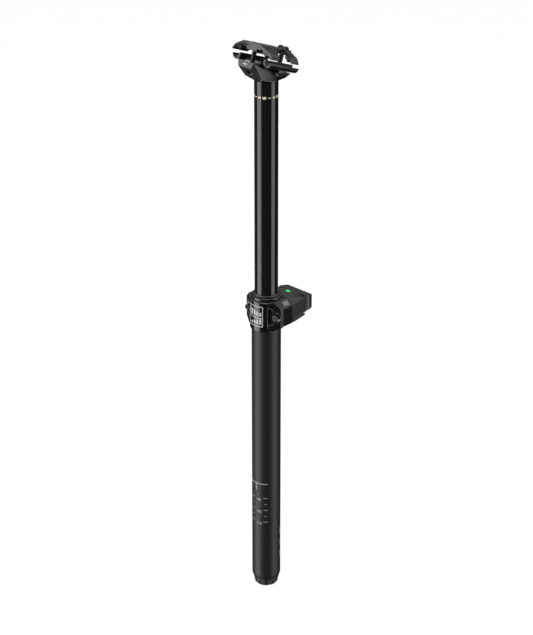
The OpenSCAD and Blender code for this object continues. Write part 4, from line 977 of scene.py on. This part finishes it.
class SEATPOST_OT_stage(bpy.types.Operator):
    """Set up the camera, the floor, the dark cards and the soft lamps"""
    bl_idname = "seatpost.stage"
    bl_label = "Studio"

    def execute(self, context):
        studio = context.scene.seatpost_studio
        scene = context.scene
        scene.view_settings.view_transform = "Standard"
        e, a = studio.elevation, studio.azimuth
        back = Vector((math.sin(a) * math.cos(e), -math.cos(a) * math.cos(e), math.sin(e)))
        data = bpy.data.cameras.new("camera")
        data.sensor_width = SENSOR_WIDTH
        data.lens = SENSOR_WIDTH * FOCAL_PIXELS / max(PHOTO_SIZE)
        data.clip_start, data.clip_end = CLIP
        data.shift_x = (PHOTO_SIZE[0] / 2 - AXIS_PIXEL) / max(PHOTO_SIZE)
        camera = bpy.data.objects.new("camera", data)
        scene.collection.objects.link(camera)
        camera.location = Vector((0, 0, studio.target_z)) + back * studio.distance
        camera.rotation_mode = "QUATERNION"
        camera.rotation_quaternion = (-back).to_track_quat("-Z", "Y")
        scene.camera = camera

        floor_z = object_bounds()[0].z - FLOOR_GAP
        paper = studio_paper("paper_white_coated", "#f4f4f4", PAPER_LEVEL)
        floor = level_card("floor", FLOOR_HALF, floor_z, paper)
        # Reflections and lamps reach past the floor, so the post's gloss runs unbroken down to its foot
        floor.visible_glossy = floor.visible_shadow = False

        # Cards beside and behind the post keep its gloss dark, as in a product studio
        cloths = {"velvet": card_cloth("cotton_velvet_woven"),
                  "felt": card_cloth("wool_felted_felt", studio.back_level),
                  "charcoal": card_cloth("wool_felted_charcoal", studio.back_level * CHARCOAL_SHARE)}
        for name, first, last, low, high, cloth in CARDS:
            only_mirrored(curved_card(name, a, first, last, low, high, cloths[cloth]))
        only_mirrored(level_card("card_below", CARD_BELOW_HALF, CARDS[0][3], cloths["velvet"]))

        for name, turn, width, power in (("left_lamp", *LEFT_LAMP, studio.key_power),
                                         ("right_lamp", *RIGHT_LAMP, studio.fill_power)):
            lamp(name, from_camera(a, turn, LAMP_DISTANCE, LAMP_Z), (0, 0, LAMP_Z), width, LAMP_HEIGHT, power)
        lamp("top_lamp", from_camera(a, *TOP_LAMP_PLACE), (0, 0, TOP_LAMP_TARGET_Z), TOP_LAMP_SIZE, TOP_LAMP_SIZE,
             studio.top_power)

        world = bpy.data.worlds.new("studio_room")
        scene.world = world
        world.use_nodes = True
        world.cycles.sampling_method = "NONE"
        tree = world.node_tree
        tree.nodes.clear()
        seen = seen_clearly(tree)
        level = add(tree, "MapRange", {"To Min": studio.room_level, "To Max": 1.0}, {"Value": seen})
        sky = add(tree, "Background", {"Color": hex_colour("#ffffff")}, {"Strength": level.outputs["Result"]})
        add(tree, "OutputWorld", links={"Surface": sky.outputs[0]})
        return {"FINISHED"}


class SEATPOST_PT_panel(bpy.types.Panel):
    """Lists the pieces and the settings"""
    bl_idname = "SEATPOST_PT_panel"
    bl_label = "Dropper Seatpost"
    bl_space_type = "VIEW_3D"
    bl_region_type = "UI"
    bl_category = "Seatpost"

    def draw(self, context):
        for group in ("seatpost_looks", "seatpost_marks", "seatpost_studio"):
            box = self.layout.box()
            settings = getattr(context.scene, group)
            for key in settings.__annotations__:
                box.prop(settings, key)
        for operator in OPERATORS:
            self.layout.operator(operator.bl_idname)


GROUPS = {"seatpost_looks": SeatpostLooks, "seatpost_marks": SeatpostMarks, "seatpost_studio": SeatpostStudio}
OPERATORS = (SEATPOST_OT_lower, SEATPOST_OT_tube_marks, SEATPOST_OT_collar, SEATPOST_OT_badge,
             SEATPOST_OT_housing, SEATPOST_OT_actuator, SEATPOST_OT_battery, SEATPOST_OT_upper,
             SEATPOST_OT_clamp, SEATPOST_OT_stage)


def register():
    """Registers the settings, the operators and the panel."""
    for kind in (*GROUPS.values(), *OPERATORS, SEATPOST_PT_panel):
        bpy.utils.register_class(kind)
    for name, kind in GROUPS.items():
        setattr(bpy.types.Scene, name, bpy.props.PointerProperty(type=kind))


def unregister():
    """Removes what register added."""
    for name in GROUPS:
        delattr(bpy.types.Scene, name)
    for kind in (SEATPOST_PT_panel, *reversed(OPERATORS), *reversed(list(GROUPS.values()))):
        bpy.utils.unregister_class(kind)


def main():
    """Builds everything in order."""
    register()
    for operator in OPERATORS:
        group, name = operator.bl_idname.split(".")
        getattr(getattr(bpy.ops, group), name)()


if __name__ == "__main__":
    main()
